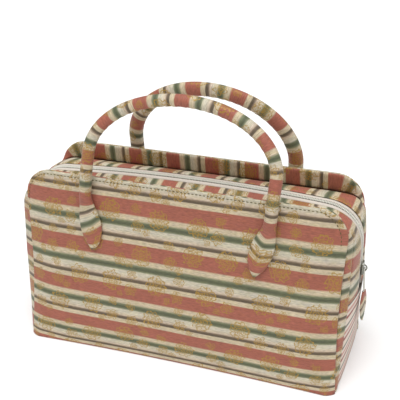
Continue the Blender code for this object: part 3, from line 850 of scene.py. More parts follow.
def brushed_metal(name, base):
    """Dull plated metal, a little worn."""
    material, tree, shader = new_material(name)
    place = object_place(tree)
    stretched = add_node(tree, "ShaderNodeMapping", {"Vector": place, "Scale": (4000.0, 900.0, 250.0)})
    streak = add_node(tree, "ShaderNodeTexNoise", {
        "Vector": stretched.outputs[0], "Scale": 1.0, "Detail": 3.0}).outputs["Fac"]
    patch = add_node(tree, "ShaderNodeTexNoise", {"Vector": place, "Scale": 300.0}).outputs["Fac"]
    tone = maths(tree, "ADD", 0.75, maths(tree, "MULTIPLY", patch, 0.5))
    roughness = maths(tree, "ADD", 0.25, maths(tree, "MULTIPLY", streak, 0.25))
    tree.links.new(tinted(tree, base, tone), shader.inputs["Base Color"])
    shader.inputs["Metallic"].default_value = 1.0
    tree.links.new(roughness, shader.inputs["Roughness"])
    relief = add_node(tree, "ShaderNodeBump", {"Height": streak, "Strength": 0.3, "Distance": 0.00003})
    tree.links.new(relief.outputs[0], shader.inputs["Normal"])
    return material


TAPE_PITCH = 0.0009
STRAP_PITCH = 0.0007
STRAP_COLOUR = srgb(214, 212, 200)
FINISHES = {}


def finish(name):
    """A finish by name, made once."""
    makers = {
        "brocade": lambda: brocade("striped_brocade", spray_group()),
        "ends": lambda: end_cloth("pale_end_cloth"),
        "tape": lambda: woven_tape("zip_tape_weave", colours().tape, TAPE_PITCH),
        "strap": lambda: woven_tape("pull_strap_weave", STRAP_COLOUR, STRAP_PITCH),
        "thread": lambda: plain_thread("topstitch_thread", colours().thread, 0.6, 3000.0),
        "coil": lambda: plain_thread("coil_nylon", colours().coil, 0.4, 900.0),
        "metal": lambda: brushed_metal("slider_plate", colours().metal),
    }
    if name not in FINISHES:
        FINISHES[name] = makers[name]()
    return FINISHES[name]


# Panels

# Distances in from a panel's edge at which its mesh has a row or column, and the step beyond them
EDGE_STEPS = (0.0, 0.00015, 0.0004, 0.0008, 0.0013, 0.002, 0.0028, 0.0038)
FIELD_STEP = 0.0022
EDGE_RADIUS = 0.001
GROOVE_DEPTH = 0.00035
GROOVE_HALF_WIDTH = 0.0009
STITCHES_END = 0.140

# Ripples fade out over this much of a panel's edge
RIPPLE_FADE = 0.008

# Stripes rise a little towards the lower corners of a panel: below this height, by this much at the
# floor, over this length at each side
SMILE_BELOW = 0.090
SMILE_RISE = 0.003
SMILE_RUN = 0.045


def rim_half(z):
    """Half length of a panel at a height."""
    knee = PANEL_HEIGHT - PANEL_CORNER
    up = min(max(z - knee, 0.0), PANEL_CORNER)
    return HALF_LENGTH - PANEL_CORNER + math.sqrt(PANEL_CORNER ** 2 - up ** 2) - waist(z)


def edge_distance(x, z):
    """Distance from a place on a panel to its top and side edges."""
    run = HALF_LENGTH - PANEL_CORNER
    knee = PANEL_HEIGHT - PANEL_CORNER
    if abs(x) > run and z > knee:
        return PANEL_CORNER - math.hypot(abs(x) - run, z - knee)
    return min(PANEL_HEIGHT - z, rim_half(z) - abs(x))


def edge_turn(distance):
    """How far a panel's face has turned back at a distance from its edge."""
    inside = min(max(distance, 0.0) / EDGE_RADIUS, 1.0)
    return EDGE_RADIUS * (1 - math.sqrt(inside * (2 - inside)))


def ripple(x, z, side):
    """Soft unevenness of a sewn panel."""
    wide = noise.noise(Vector((x * 22, z * 30, 3.0 * side + sizes().seed)))
    close = noise.noise(Vector((x * 75, z * 110, 9.0 * side + sizes().seed)))
    return sizes().ripple * (wide + 0.35 * close)


def stitch_inset(x):
    """Topstitching to the panel's edge, which grows round the right corner."""
    share = smooth((x - HALF_LENGTH + PANEL_CORNER) / PANEL_CORNER)
    return sizes().stitch_inset + sizes().stitch_drift * share


def stitch_groove(distance, x, z):
    """Channel that the topstitching pulls into the panel."""
    if z < STITCHES_END - GROOVE_HALF_WIDTH:
        return 0.0
    return GROOVE_DEPTH * math.exp(-((distance - stitch_inset(x)) / GROOVE_HALF_WIDTH) ** 2)


def panel_front(x, z, side):
    """Half depth of a panel's outer face, with its turned edge, ripples and groove."""
    distance = edge_distance(x, z)
    calm = smooth(min(distance, z) / RIPPLE_FADE)
    return (panel_depth(x, z) - edge_turn(min(distance, z)) + ripple(x, z, side) * calm
            - stitch_groove(distance, x, z))


def stripe_place(x, z):
    """Place across the cloth's stripes, for a place on a panel."""
    heights = [row.height for row in STRIPE_LEVELS]
    places = [row.place for row in STRIPE_LEVELS]
    low = max(1 - z / SMILE_BELOW, 0.0)
    smile = SMILE_RISE * low * smooth((abs(x) - HALF_LENGTH + SMILE_RUN) / SMILE_RUN)
    return float(np.interp(z - smile, heights, places))


def spread(length):
    """Places across a length, close together near both ends."""
    inner = length / 2 - EDGE_STEPS[-1]
    count = int(round(2 * inner / FIELD_STEP))
    field = [mix(-inner, inner, k / count) for k in range(count + 1)]
    ends = [length / 2 - step for step in EDGE_STEPS[:-1]]
    return [-e for e in ends] + field + list(reversed(ends))


def panel_cloth(name, side, cad_node):
    """Stiffened brocade panel with turned edges."""
    rows = [PANEL_HEIGHT / 2 + z for z in spread(PANEL_HEIGHT)]
    shares = [x / HALF_LENGTH for x in spread(2 * HALF_LENGTH)]
    outer, inner, places = [], [], []
    for z in rows:
        across = [rim_half(z) * share for share in shares]
        outer.append([(x, side * panel_front(x, z, side), z) for x in across])
        inner.append([(x, side * (panel_depth(x, z) - PANEL_THICKNESS
                                  + edge_turn(min(edge_distance(x, z), z))), z) for x in across])
        places.append([(x, stripe_place(x, z)) for x in across])
    piece = shell_between(name, np.array(outer), np.array(inner), np.array(places), finish("brocade"))
    keep(piece, "brocade_panel", cad_node)
    return piece


# Envelope between the panels

FINE_TOP = 150
FINE_CORNER = 30
FINE_LEG = 26
FINE_LOW = 36
FACING_STEPS = 8
GUSSET_STEPS = 14
TAPE_STEPS = 18

# A zip tape runs on under the gusset's folded edge, as sewn ones do: how far from the crest, how
# much it sinks to clear the gusset, and over what width before the fold
TAPE_HIDDEN_REACH = 0.0145
TAPE_SINK = 0.0012
TAPE_SINK_RUN = 0.0012


def stations(first, last):
    """Fine station numbers between two stations."""
    half = [k / (FINE_TOP / 2) for k in range(FINE_TOP // 2)]
    half += [1 + k / FINE_CORNER for k in range(FINE_CORNER)]
    half += [2 + k / FINE_LEG for k in range(FINE_LEG)]
    half += [3 + k / FINE_LOW for k in range(FINE_LOW + 1)]
    both = [-s for s in reversed(half[1:])] + half
    return [s for s in both if first <= s <= last]


def tent_shares(station, first, last, steps):
    """Shares across the tent between two of its edges."""
    reach = seam_point(station)[1]
    edges = {"seam": 1.0, "hidden": TAPE_HIDDEN_REACH / reach, "tape": TAPE_REACH / reach,
             "coil": (COIL_HALF_WIDTH + GAP) / reach, "far": -1.0}
    return [mix(edges[first], edges[last], k / steps) for k in range(steps + 1)]


def inset_edges(grid, distance):
    """Grid whose borders are moved in by a distance, which opens the seams."""
    result = grid.copy()
    result[0] += unit(grid[1] - grid[0]) * distance
    result[-1] += unit(grid[-2] - grid[-1]) * distance
    moved = result.copy()
    result[:, 0] += unit(moved[:, 1] - moved[:, 0]) * distance
    result[:, -1] += unit(moved[:, -2] - moved[:, -1]) * distance
    return result


def strip_wall(name, surface, depth, thickness, puff, places, material):
    """Wall of cloth below a surface, puffed between its long edges, which are rolled."""
    normals = grid_normals(surface)
    columns = surface.shape[1]
    across = np.linspace(0.0, 1.0, columns)
    swell = (puff * np.sin(np.pi * across) ** 0.8)[None, :, None]
    roll = (thickness * 0.35 * (np.abs(2 * across - 1) ** 6))[None, :, None]
    outer = inset_edges(surface - normals * (depth + roll) + normals * swell, GAP)
    inner = inset_edges(surface - normals * (depth + thickness - roll) + normals * swell, GAP)
    return shell_between(name, outer, inner, places, material)


def strip_places(surface, phase, rate):
    """Places on the cloth of a strip whose stripes run across it, counted from the bag's middle."""
    middle = surface[:, surface.shape[1] // 2]
    along = path_lengths(middle)
    centre = along[int(np.argmin(np.abs(middle[:, 0])))]
    across = np.array([path_lengths(row) for row in surface])
    places = np.zeros(surface.shape[:2] + (2,))
    places[..., 0] = across + STRIP_CUT
    places[..., 1] = (rate * (along - centre) + phase)[:, None]
    return places, float(along[-1]), float(across[:, -1].mean())


def on_side(surface, side):
    """A front surface, or its mirror image behind the bag with its faces still outwards."""
    if side < 0:
        return surface
    mirrored = surface.copy()
    mirrored[..., 1] *= -1
    return mirrored[:, ::-1]


# Where each strip lies on the cloth: place across the stripes at the bag's middle, and how fast the
# stripes go by towards the right, which is negative where the strip was turned round
Strip = namedtuple("Strip", "half side facing_phase facing_rate gusset_phase gusset_rate")
STRIPS = (
    Strip("front", -1, 0.0071, -1.135, 0.0313, -1.043),
    Strip("back", 1, -0.0004, 1.075, 0.0191, -1.0),
)
STRIP_CUT = 0.009


def facing_cloth(strip):
    """Strip cut across the stripes, which lines the ridge and turns out down the ends."""
    surface = np.array([[mix(Vector(facing_rim(s)), Vector((x, -y, z)), k / FACING_STEPS)
                         for k in range(FACING_STEPS + 1)]
                        for s in stations(-4, 4) for x, y, z in [seam_point(s)]])
    surface = on_side(surface, strip.side)
    places, length, width = strip_places(surface, strip.facing_phase, strip.facing_rate)
    piece = strip_wall(f"facing_{strip.half}_cloth", surface, 0.0, STRIP_THICKNESS, 0.0003, places,
                       finish("brocade"))
    keep(piece, "brocade_strip", f"facing_{strip.half}")


def gusset_cloth(strip):
    """Strip between the facing and the zip."""
    surface = np.array([[tent_point(s, share) for share in tent_shares(s, "seam", "tape", GUSSET_STEPS)]
                        for s in stations(-3, 3)])
    surface = on_side(surface, strip.side)
    places, length, width = strip_places(surface, strip.gusset_phase, strip.gusset_rate)
    piece = strip_wall(f"gusset_{strip.half}_cloth", surface, 0.0, STRIP_THICKNESS, 0.0005, places,
                       finish("brocade"))
    keep(piece, "brocade_strip", f"gusset_{strip.half}")


def tape_cloth(strip):
    """Zip tape on one side of the coil."""
    surface = np.array([[tent_point(s, share) for share in tent_shares(s, "hidden", "coil", TAPE_STEPS)]
                        for s in stations(-3, 3)])
    across = np.linspace(TAPE_HIDDEN_REACH, COIL_HALF_WIDTH + GAP, TAPE_STEPS + 1)
    sunk = [TAPE_SINK * smooth((y - TAPE_REACH + TAPE_SINK_RUN) / TAPE_SINK_RUN) for y in across]
    surface = surface - grid_normals(surface) * np.array(sunk)[None, :, None]
    surface = on_side(surface, strip.side)
    places, length, width = strip_places(surface, 0.0, 1)
    piece = strip_wall(f"tape_{strip.half}_cloth", surface, TAPE_DROP, TAPE_THICKNESS, 0.0, places,
                       finish("tape"))
    keep(piece, "zipper_tape", f"zipper_tape_{strip.half}")


def end_panel_cloth(end, first, last):
    """Lower end of the bag below the zip."""
    surface = np.array([[tent_point(s, share) for share in tent_shares(s, "seam", "far", 2 * GUSSET_STEPS)]
                        for s in stations(first, last)])
    places = np.stack([surface[..., 1], surface[..., 2]], axis=-1)
    piece = strip_wall(f"end_{end}_cloth", surface, 0.0, STRIP_THICKNESS, 0.0006, places, finish("ends"))
    keep(piece, "brocade_end", f"end_panel_{end}")


# Geometry Nodes for what repeats


def tree_with_inputs(name, inputs):
    """Geometry node tree with a mesh input, named size inputs and a material, and its end nodes."""
    tree = bpy.data.node_groups.new(name, "GeometryNodeTree")
    tree.interface.new_socket("Geometry", in_out="INPUT", socket_type="NodeSocketGeometry")
    for label, kind, subtype in inputs:
        socket = tree.interface.new_socket(label, in_out="INPUT", socket_type=kind)
        if subtype:
            socket.subtype = subtype
    tree.interface.new_socket("Geometry", in_out="OUTPUT", socket_type="NodeSocketGeometry")
    return tree, tree.nodes.new("NodeGroupInput"), tree.nodes.new("NodeGroupOutput")


REPEAT_INPUTS = (
    ("Pitch", "NodeSocketFloat", "DISTANCE"),
    ("Size", "NodeSocketVector", None),
    ("Slip", "NodeSocketFloat", "DISTANCE"),
    ("Jitter", "NodeSocketFloat", "ANGLE"),
    ("Seed", "NodeSocketInt", None),
    ("Material", "NodeSocketMaterial", None),
)


def bars_along_line():
    """Rounded bars at even steps along a line: Size is across, sideways (Y) and along, and every second
    bar slips sideways. Stitches and zip teeth are made with it."""
    tree, start, end = tree_with_inputs("bars_along_line", REPEAT_INPUTS)
    to_curve = add_node(tree, "GeometryNodeMeshToCurve", {0: start.outputs["Geometry"]})
    even = add_node(tree, "GeometryNodeResampleCurve", {"Curve": to_curve.outputs[0],
                                                        "Length": start.outputs["Pitch"]}, mode="LENGTH")
    tangent = add_node(tree, "GeometryNodeInputTangent")
    aligned = add_node(tree, "FunctionNodeAlignRotationToVector", {"Vector": tangent.outputs[0]}, axis="Z")
    upright = add_node(tree, "FunctionNodeAlignRotationToVector", {
        "Rotation": aligned.outputs[0], "Vector": (0.0, 1.0, 0.0)}, axis="Y", pivot_axis="Z")
    less = add_node(tree, "ShaderNodeMath", {0: start.outputs["Jitter"], 1: -1.0}, operation="MULTIPLY")
    chance = add_node(tree, "FunctionNodeRandomValue", {2: less.outputs[0], 3: start.outputs["Jitter"],
                                                        "Seed": start.outputs["Seed"]}, data_type="FLOAT")
    twist = add_node(tree, "ShaderNodeCombineXYZ", {0: chance.outputs[1]})
    turned = add_node(tree, "FunctionNodeRotateRotation", {0: upright.outputs[0], 1: twist.outputs[0]},
                      rotation_space="LOCAL")
    bar = add_node(tree, "GeometryNodeMeshUVSphere", {"Segments": 8, "Rings": 6, "Radius": 0.5})
    sized = add_node(tree, "GeometryNodeTransform", {0: bar.outputs[0], "Scale": start.outputs["Size"]})
    index = add_node(tree, "GeometryNodeInputIndex")
    parity = maths(tree, "MODULO", index.outputs[0], 2.0)
    slip = maths(tree, "MULTIPLY", maths(tree, "SUBTRACT", parity, 0.5), start.outputs["Slip"])
    offset = add_node(tree, "ShaderNodeCombineXYZ", {1: slip})
    placed = add_node(tree, "GeometryNodeSetPosition", {0: even.outputs[0], "Offset": offset.outputs[0]})
    copies = add_node(tree, "GeometryNodeInstanceOnPoints", {
        "Points": placed.outputs[0], "Instance": sized.outputs[0], "Rotation": turned.outputs[0]})
    real = add_node(tree, "GeometryNodeRealizeInstances", {0: copies.outputs[0]})
    smooth_faces = add_node(tree, "GeometryNodeSetShadeSmooth", {0: real.outputs[0]})
    painted = add_node(tree, "GeometryNodeSetMaterial", {
        0: smooth_faces.outputs[0], "Material": start.outputs["Material"]})
    tree.links.new(painted.outputs[0], end.inputs[0])
    return tree


def bars_on_line(name, points, material, **values):
    """Object with bars along a line, its node tree applied."""
    tree = bpy.data.node_groups.get("bars_along_line") or bars_along_line()
    line = line_object(f"{name}_line", points)
    modifier = line.modifiers.new("bars", "NODES")
    modifier.node_group = tree
    sockets = {item.name: item.identifier for item in tree.interface.items_tree
               if item.in_out == "INPUT"}
    given = dict(Slip=0.0, Jitter=0.0, Seed=sizes().seed, Material=material)
    given.update(values)
    for label, value in given.items():
        modifier[sockets[label]] = value
    depsgraph = bpy.context.evaluated_depsgraph_get()
    mesh = bpy.data.meshes.new_from_object(line.evaluated_get(depsgraph), depsgraph=depsgraph)
    bpy.data.objects.remove(line, do_unlink=True)
    mesh.name = name
    return linked(name, mesh)


# Handles

LEG_FINE = 60
ARCH_FINE = 120
RING_FINE = 28
CREASE_DEPTH = 0.00022
CREASE_STEP = 0.0075
CREASE_WANDER = 3
CREASE_WANDER_RATE = 60
CHEVRON = 0.5
CHEVRON_SOFTNESS = 0.002

# How each handle lies on the cloth: place across the stripes at its middle, how fast the stripes go
# by on each side, how much faster down its right leg, and how far those of its left leaf rise
HandleCut = namedtuple("HandleCut", "place left_rate right_rate leg_gain left_slant")
HANDLE_CUTS = (
    HandleCut(0.0077, 1.10, 1.03, 0.115, 0.35),
    HandleCut(0.0378, -1.034, -1.034, 0.0, 0.0),
)
LEG_START = 0.090


def handle_depth(z, half_thickness):
    """Distance of a handle's middle from the middle of the bag."""
    knee = PANEL_HEIGHT + HANDLE_LEAN_ABOVE_RIDGE
    return half_depth(min(z, knee)) + GAP + half_thickness - HANDLE_LEAN * max(z - knee, 0.0)


def leg_rows(handle):
    """(x, z, half width, half thickness) up a handle's right leg."""
    leaf_top = LEAF_TIP_HEIGHT + LEAF_LENGTH
    along = [row.along for row in LEAF_SECTIONS]
    rows = []
    for k in range(LEG_FINE):
        z = mix(LEAF_TIP_HEIGHT, handle.spring, k / LEG_FINE)
        share = (z - LEAF_TIP_HEIGHT) / LEAF_LENGTH
        leaf = float(np.interp(share, along, [row.leaf for row in LEAF_SECTIONS]))
        swell = smooth(float(np.interp(share, along, [row.swell for row in LEAF_SECTIONS])))
        rows.append((handle.half_span - LEAF_TIP_IN * smooth((leaf_top - z) / LEAF_LENGTH), z,
                     mix(LEAF_HALF_WIDTH * leaf, handle.half_width, swell),
                     mix(LEAF_HALF_THICKNESS, handle.half_thickness, swell)))
    return rows


def handle_rows(handle):
    """Rows from the left tip over the arch to the right tip."""
    leg = leg_rows(handle)
    arch = []
    for k in range(ARCH_FINE + 1):
        angle = math.pi * (1 - k / ARCH_FINE)
        z = mix(handle.spring, handle.apex, math.sin(angle))
        arch.append((handle.half_span * math.cos(angle), z, handle.half_width, handle.half_thickness))
    left = [(-x, z, width, thickness) for x, z, width, thickness in leg]
    return left + arch + list(reversed(leg))


def evened(values, window=2):
    """Values with each replaced by the mean of its neighbours, ends kept."""
    values = np.array(values, float)
    result = values.copy()
    for k in range(window, len(values) - window):
        result[k] = values[k - window:k + window + 1].mean(axis=0)
    return result


def cut_place(cut, s):
    """Place across the stripes at a distance from the handle's middle."""
    rate = cut.left_rate if s < 0 else cut.right_rate
    return cut.place + rate * s + cut.leg_gain * max(s - LEG_START, 0.0)


def leaf_place(cut, s, sideways, flatness):
    """Place across the stripes on a handle, whose leaves carry them in a chevron or at a slant."""
    slant = cut.left_slant if s < 0 else 0.0
    off_middle = math.hypot(sideways, CHEVRON_SOFTNESS)
    s -= math.copysign((CHEVRON - slant) * flatness * (LEAF_HALF_WIDTH - off_middle), s)
    return cut_place(cut, s - slant * flatness * sideways)


def handle_middle(handle, rows):
    """Middle line of a handle, as an array."""
    middle = []
    for x, z, _, thickness in rows:
        lean = min((z - LEAF_TIP_HEIGHT) / (handle.spring - LEAF_TIP_HEIGHT), 1.0)
        centre = mix(handle.foot_centre, handle.centre, lean)
        middle.append((x + centre, handle.side * handle_depth(z, thickness), z))
    return evened(middle)


def leaf_flatness(width, thickness):
    """0 where a handle is round, to 1 where it is a flat leaf."""
    return smooth(1.6 * (width / thickness - 1.6) / 3)


def crease_wave(along):
    """Creases round a handle at a distance from its left tip, from -1 to 1."""
    wander = CREASE_WANDER * noise.noise(Vector((along * CREASE_WANDER_RATE, 0, 0)))
    return math.sin(2 * math.pi * along / CREASE_STEP + wander)


def handle_cloth(handle, cut):
    """Handle rolled over a cord, ringed by the cloth's stripes, with its two leaf-shaped ends."""
    rows = handle_rows(handle)
    middle = handle_middle(handle, rows)
    widths = evened([row[2] for row in rows])
    thicknesses = evened([row[3] for row in rows])
    away = Vector((0, handle.side, HANDLE_LEAN)).normalized()
    along = path_lengths(middle)
    rings, places = [], []
    for k, point in enumerate(middle):
        ahead = Vector(middle[min(k + 1, len(rows) - 1)] - middle[max(k - 1, 0)]).normalized()
        out = (away - ahead * away.dot(ahead)).normalized()
        across = ahead.cross(out)
        flatness = leaf_flatness(widths[k], thicknesses[k])
        ring, row = [], []
        for j in range(RING_FINE + 1):
            turn = 2 * math.pi * j / RING_FINE
            inner_side = max(across.dot(Vector((0, 0, -1))) * math.cos(turn), 0.0)
            crease = CREASE_DEPTH * inner_side * crease_wave(along[k]) * (1 - flatness)
            step = (across * (widths[k] + crease) * math.cos(turn)
                    + out * (thicknesses[k] + crease) * math.sin(turn))
            if j < RING_FINE:
                ring.append(Vector(point) + step)
            place = leaf_place(cut, along[k] - along[-1] / 2, widths[k] * math.cos(turn), flatness)
            row.append((turn * handle.half_width, place))
        rings.append(ring)
        places.append(row)
    piece = tube_through(f"{handle.name}_cloth", rings, places, finish("brocade"))
    keep(piece, "brocade_handle", handle.name)
    return piece


# Operators

# Rounding of the edges of pieces that are copied from the frame
BOARD_BEVEL = 0.0004
SMALL_BEVEL = 0.0002

# Zip teeth: across, sideways and along, how far they stand off the line in turn, and how far below the
# slider's top they begin
TOOTH_SIZE = (0.0019, 0.0050, 0.0014)
TOOTH_SLIP = 0.0004
TEETH_BELOW_SLIDER = 0.006


class HANDBAG_OT_panels(bpy.types.Operator):
    """Front and back panels of stiffened brocade"""

    bl_idname = "handbag.panels"
    bl_label = "Panels"

    def execute(self, context):
        panel_cloth("panel_front_cloth", -1, "front_panel")
        panel_cloth("panel_back_cloth", 1, "back_panel")
        return {"FINISHED"}


class HANDBAG_OT_facings(bpy.types.Operator):
    """Facings that line the ridges and run down the ends"""

    bl_idname = "handbag.facings"
    bl_label = "Facings"

    def execute(self, context):
        for strip in STRIPS:
            facing_cloth(strip)
        return {"FINISHED"}


class HANDBAG_OT_gussets(bpy.types.Operator):
    """Strips between the facings and the zip"""

    bl_idname = "handbag.gussets"
    bl_label = "Gussets"

    def execute(self, context):
        for strip in STRIPS:
            gusset_cloth(strip)
        return {"FINISHED"}


class HANDBAG_OT_ends(bpy.types.Operator):
    """Lower ends and base"""

    bl_idname = "handbag.ends"
    bl_label = "Ends and base"

    def execute(self, context):
        for end, first, last in (("left", -4, -3), ("right", 3, 4)):
            end_panel_cloth(end, first, last)
        base = copied_node("base_panel", "base_board", BOARD_BEVEL, finish("ends"))
        keep(base, "brocade_end", "base_panel")
        return {"FINISHED"}


def copied_node(node, name, bevel, material):
    """Copy of a CAD node with its doubles merged, its edges rounded and a flat cloth map."""
    bm = bmesh.new()
    bm.from_mesh(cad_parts[node].data)
    bmesh.ops.remove_doubles(bm, verts=bm.verts, dist=1e-6)
    bmesh.ops.dissolve_limit(bm, angle_limit=math.radians(1.0), verts=bm.verts, edges=bm.edges)
    sharp = [e for e in bm.edges if e.is_manifold and e.calc_face_angle(0.0) > math.radians(40)]
    bmesh.ops.bevel(bm, geom=sharp, offset=bevel, segments=2, profile=0.5, affect="EDGES",
                    clamp_overlap=True)
    for layer in list(bm.loops.layers.uv.values()):
        bm.loops.layers.uv.remove(layer)
    uv = bm.loops.layers.uv.new("cloth")
    for face in bm.faces:
        flat = max(range(3), key=lambda k: abs(face.normal[k]))
        for loop in face.loops:
            axes = [k for k in range(3) if k != flat]
            loop[uv].uv = (loop.vert.co[axes[0]], loop.vert.co[axes[1]])
    piece = object_of(name, bm, material)
    piece.data.set_sharp_from_angle(angle=math.radians(40))
    return piece


class HANDBAG_OT_zip(bpy.types.Operator):
    """Zip tapes and coil"""

    bl_idname = "handbag.zip"
    bl_label = "Zip"

    def execute(self, context):
        for strip in STRIPS:
            tape_cloth(strip)
        line = [Vector(tent_point(s, 0.0)) for s in stations(-3, 3)]
        line = [p for p in line if p.x < 0 or p.z > SLIDER_TOP - TEETH_BELOW_SLIDER]
        depth = TAPE_DROP + TAPE_THICKNESS / 2
        lowered = []
        for k, point in enumerate(line):
            ahead = (line[min(k + 1, len(line) - 1)] - line[max(k - 1, 0)]).normalized()
            out = Vector((0, 1, 0)).cross(ahead) * -1
            lowered.append(point - out * depth)
        teeth = bars_on_line("coil_teeth", lowered, finish("coil"), Pitch=sizes().tooth_pitch,
                             Size=TOOTH_SIZE, Slip=TOOTH_SLIP)
        keep(teeth, "zipper_coil", "zipper_coil")
        return {"FINISHED"}


class HANDBAG_OT_pull(bpy.types.Operator):
    """Slider, strap and leaf-shaped pull"""

    bl_idname = "handbag.pull"
    bl_label = "Slider and pull"

    def execute(self, context):
        keep(copied_node("zipper_slider", "slider_plates", SMALL_BEVEL, finish("metal")),
             "slider_metal", "zipper_slider")
        keep(copied_node("pull_strip", "pull_strap", SMALL_BEVEL, finish("strap")),
             "pull_strap", "pull_strip")
        pull_leaf()
        return {"FINISHED"}


# Leaf of the pull: where a half wave is cut off above and below to give its outline, how pointed that
# is, how much of its thickness is left at the tip, and how the stripes lie on it
TAB_ROWS = 36
TAB_CUTS = (0.12, 0.985)
TAB_LEAST = 0.02
TAB_POWER = 0.8
TAB_THIN = 0.6
TAB_PLACE = 0.0155
TAB_CHEVRON = 0.7


def pull_leaf():
    """Padded leaf of folded brocade, its tip down."""
    middle = (TAB_LOW + TAB_HIGH) / 2
    across = Vector((-math.sin(PULL_TAB_TURN), -math.cos(PULL_TAB_TURN), 0))
    out = Vector((math.cos(PULL_TAB_TURN), -math.sin(PULL_TAB_TURN), 0))
    rings, places = [], []
    for k in range(TAB_ROWS + 1):
        share = k / TAB_ROWS
        z = mix(TAB_HIGH.z, TAB_LOW.z, share)
        full = max(math.sin(math.pi * mix(*TAB_CUTS, share)), TAB_LEAST) ** TAB_POWER
        ring, row = [], []
        for j in range(RING_FINE + 1):
            turn = 2 * math.pi * j / RING_FINE
            sideways = PULL_TAB_HALF_WIDTH * full * math.cos(turn)
            lift = PULL_TAB_HALF_THICKNESS * mix(TAB_THIN, 1.0, full) * math.sin(turn)
            if j < RING_FINE:
                ring.append(Vector((middle.x, middle.y, z)) + across * sideways + out * lift)
            row.append((sideways, TAB_PLACE + (z - TAB_LOW.z) + TAB_CHEVRON * abs(sideways)))
        rings.append(ring)
        places.append(row)
    piece = tube_through("pull_leaf_cloth", rings, places, finish("brocade"))
    keep(piece, "pull_leaf", "pull_tab")


class HANDBAG_OT_handles(bpy.types.Operator):
    """Two rolled handles"""

    bl_idname = "handbag.handles"
    bl_label = "Handles"

    def execute(self, context):
        for handle, cut in zip(HANDLES, HANDLE_CUTS):
            handle_cloth(handle, cut)
        return {"FINISHED"}


CORNER_POINTS = 24
TOP_POINTS = 120
STITCH_JITTER = math.radians(6)


def stitch_line(side):
    """Line of the topstitching: up the left side, round the corners and down the right side."""
    radius = PANEL_CORNER - sizes().stitch_inset
    run = HALF_LENGTH - PANEL_CORNER
    knee = PANEL_HEIGHT - PANEL_CORNER
    outline = [(-run - radius, STITCHES_END)]
    outline += [(-run - radius * math.cos(a), knee + radius * math.sin(a))
                for a in np.linspace(0, math.pi / 2, CORNER_POINTS)]
    outline += [(x, knee + radius) for x in np.linspace(-run, run, TOP_POINTS)[1:]]
    for a in np.linspace(0, math.pi / 2, CORNER_POINTS)[1:]:
        reach = PANEL_CORNER - stitch_inset(run + PANEL_CORNER * math.sin(a))
        outline.append((run + reach * math.sin(a), knee + reach * math.cos(a)))
    outline.append((outline[-1][0], STITCHES_END))
    lift = sizes().stitch_width * 0.2
    return [(x, side * (panel_front(x, z, side) + lift), z) for x, z in outline]


class HANDBAG_OT_topstitching(bpy.types.Operator):
    """Stitches along the panels' edges"""

    bl_idname = "handbag.topstitching"
    bl_label = "Topstitching"

    def execute(self, context):
        width = sizes().stitch_width
        for half, side in (("front", -1), ("back", 1)):
            piece = bars_on_line(f"topstitch_{half}", stitch_line(side), finish("thread"),
                                 Pitch=sizes().stitch_pitch, Jitter=STITCH_JITTER,
                                 Size=(width, width, sizes().stitch_length))
            keep(piece, "brocade_panel")
        return {"FINISHED"}


def add_sun(settings):
    """Broad soft light from high above, a little from the camera's side."""
    light = bpy.data.lights.new("overhead_light", "SUN")
    light.energy = settings.light
    light.angle = settings.light_breadth
    lamp = linked("overhead_light", light)
    height, turn = settings.light_height, settings.light_turn
    source = Vector((math.sin(turn) * math.cos(height), -math.cos(turn) * math.cos(height),
                     math.sin(height)))
    lamp.rotation_euler = (-source).to_track_quat("-Z", "Y").to_euler()


FLOOR_SIZE = 6.0
FLOOR_DROP = 0.0002


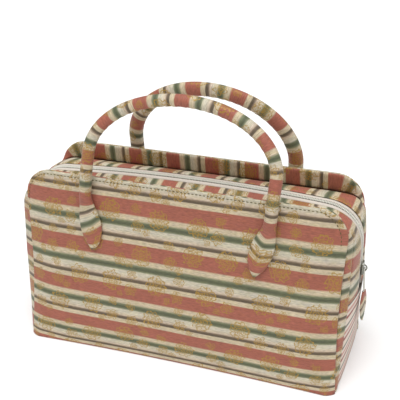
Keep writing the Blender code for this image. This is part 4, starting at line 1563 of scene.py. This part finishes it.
class HANDBAG_OT_stage(bpy.types.Operator):
    """Pale floor, soft light and the camera"""

    bl_idname = "handbag.stage"
    bl_label = "Stage"

    def execute(self, context):
        settings = context.scene.handbag.stage
        bm = bmesh.new()
        bmesh.ops.create_grid(bm, x_segments=1, y_segments=1, size=FLOOR_SIZE)
        material, _, shader = new_material("stage_floor")
        shader.inputs["Base Color"].default_value = settings.floor
        shader.inputs["Roughness"].default_value = 0.9
        floor = object_of("floor", bm, material)
        floor.location = (0, 0, -FLOOR_DROP)
        world = bpy.data.worlds.new("soft_room")
        context.scene.world = world
        world.use_nodes = True
        world.node_tree.nodes["Background"].inputs["Color"].default_value = (1.0, 1.0, 1.0, 1.0)
        world.node_tree.nodes["Background"].inputs["Strength"].default_value = settings.room
        add_sun(settings)
        add_camera(settings)
        context.scene.view_settings.view_transform = "Standard"
        return {"FINISHED"}


def add_camera(settings):
    """Camera at the photograph's angle."""
    a, e, r = settings.azimuth, settings.elevation, settings.roll
    back = Vector((math.sin(a) * math.cos(e), -math.cos(a) * math.cos(e), math.sin(e)))
    level = (-back).cross(Vector((0, 0, 1))).normalized()
    upright = level.cross(-back)
    right = level * math.cos(r) + upright * math.sin(r)
    up = upright * math.cos(r) - level * math.sin(r)
    data = bpy.data.cameras.new("camera")
    data.lens = settings.lens
    data.sensor_width = 36.0
    camera = linked("camera", data)
    turn = Matrix((right, up, back)).transposed().to_4x4()
    camera.matrix_world = Matrix.Translation(Vector(settings.place)) @ turn
    bpy.context.scene.camera = camera


class HANDBAG_PT_sidebar(bpy.types.Panel):
    """Handbag tools"""

    bl_label = "Kimono handbag"
    bl_idname = "HANDBAG_PT_sidebar"
    bl_space_type = "VIEW_3D"
    bl_region_type = "UI"
    bl_category = "Handbag"

    def draw(self, context):
        settings = context.scene.handbag
        for operator in OPERATORS:
            self.layout.operator(operator.bl_idname)
        for group in (settings.colours, settings.sizes, settings.stage):
            box = self.layout.box()
            for key in group.__annotations__:
                box.prop(group, key)


OPERATORS = (HANDBAG_OT_ends, HANDBAG_OT_panels, HANDBAG_OT_facings, HANDBAG_OT_gussets, HANDBAG_OT_zip,
             HANDBAG_OT_pull, HANDBAG_OT_handles, HANDBAG_OT_topstitching, HANDBAG_OT_stage)
CLASSES = (ClothColours, ClothSizes, StageSettings, HandbagSettings) + OPERATORS + (HANDBAG_PT_sidebar,)


def register():
    """Register the classes and the settings."""
    for item in CLASSES:
        bpy.utils.register_class(item)
    bpy.types.Scene.handbag = PointerProperty(type=HandbagSettings)


def unregister():
    """Take the classes and the settings away again."""
    del bpy.types.Scene.handbag
    for item in reversed(CLASSES):
        bpy.utils.unregister_class(item)


def main():
    """Build everything in order."""
    register()
    for operator in OPERATORS:
        group, action = operator.bl_idname.split(".")
        getattr(getattr(bpy.ops, group), action)()


if __name__ == "__main__":
    main()
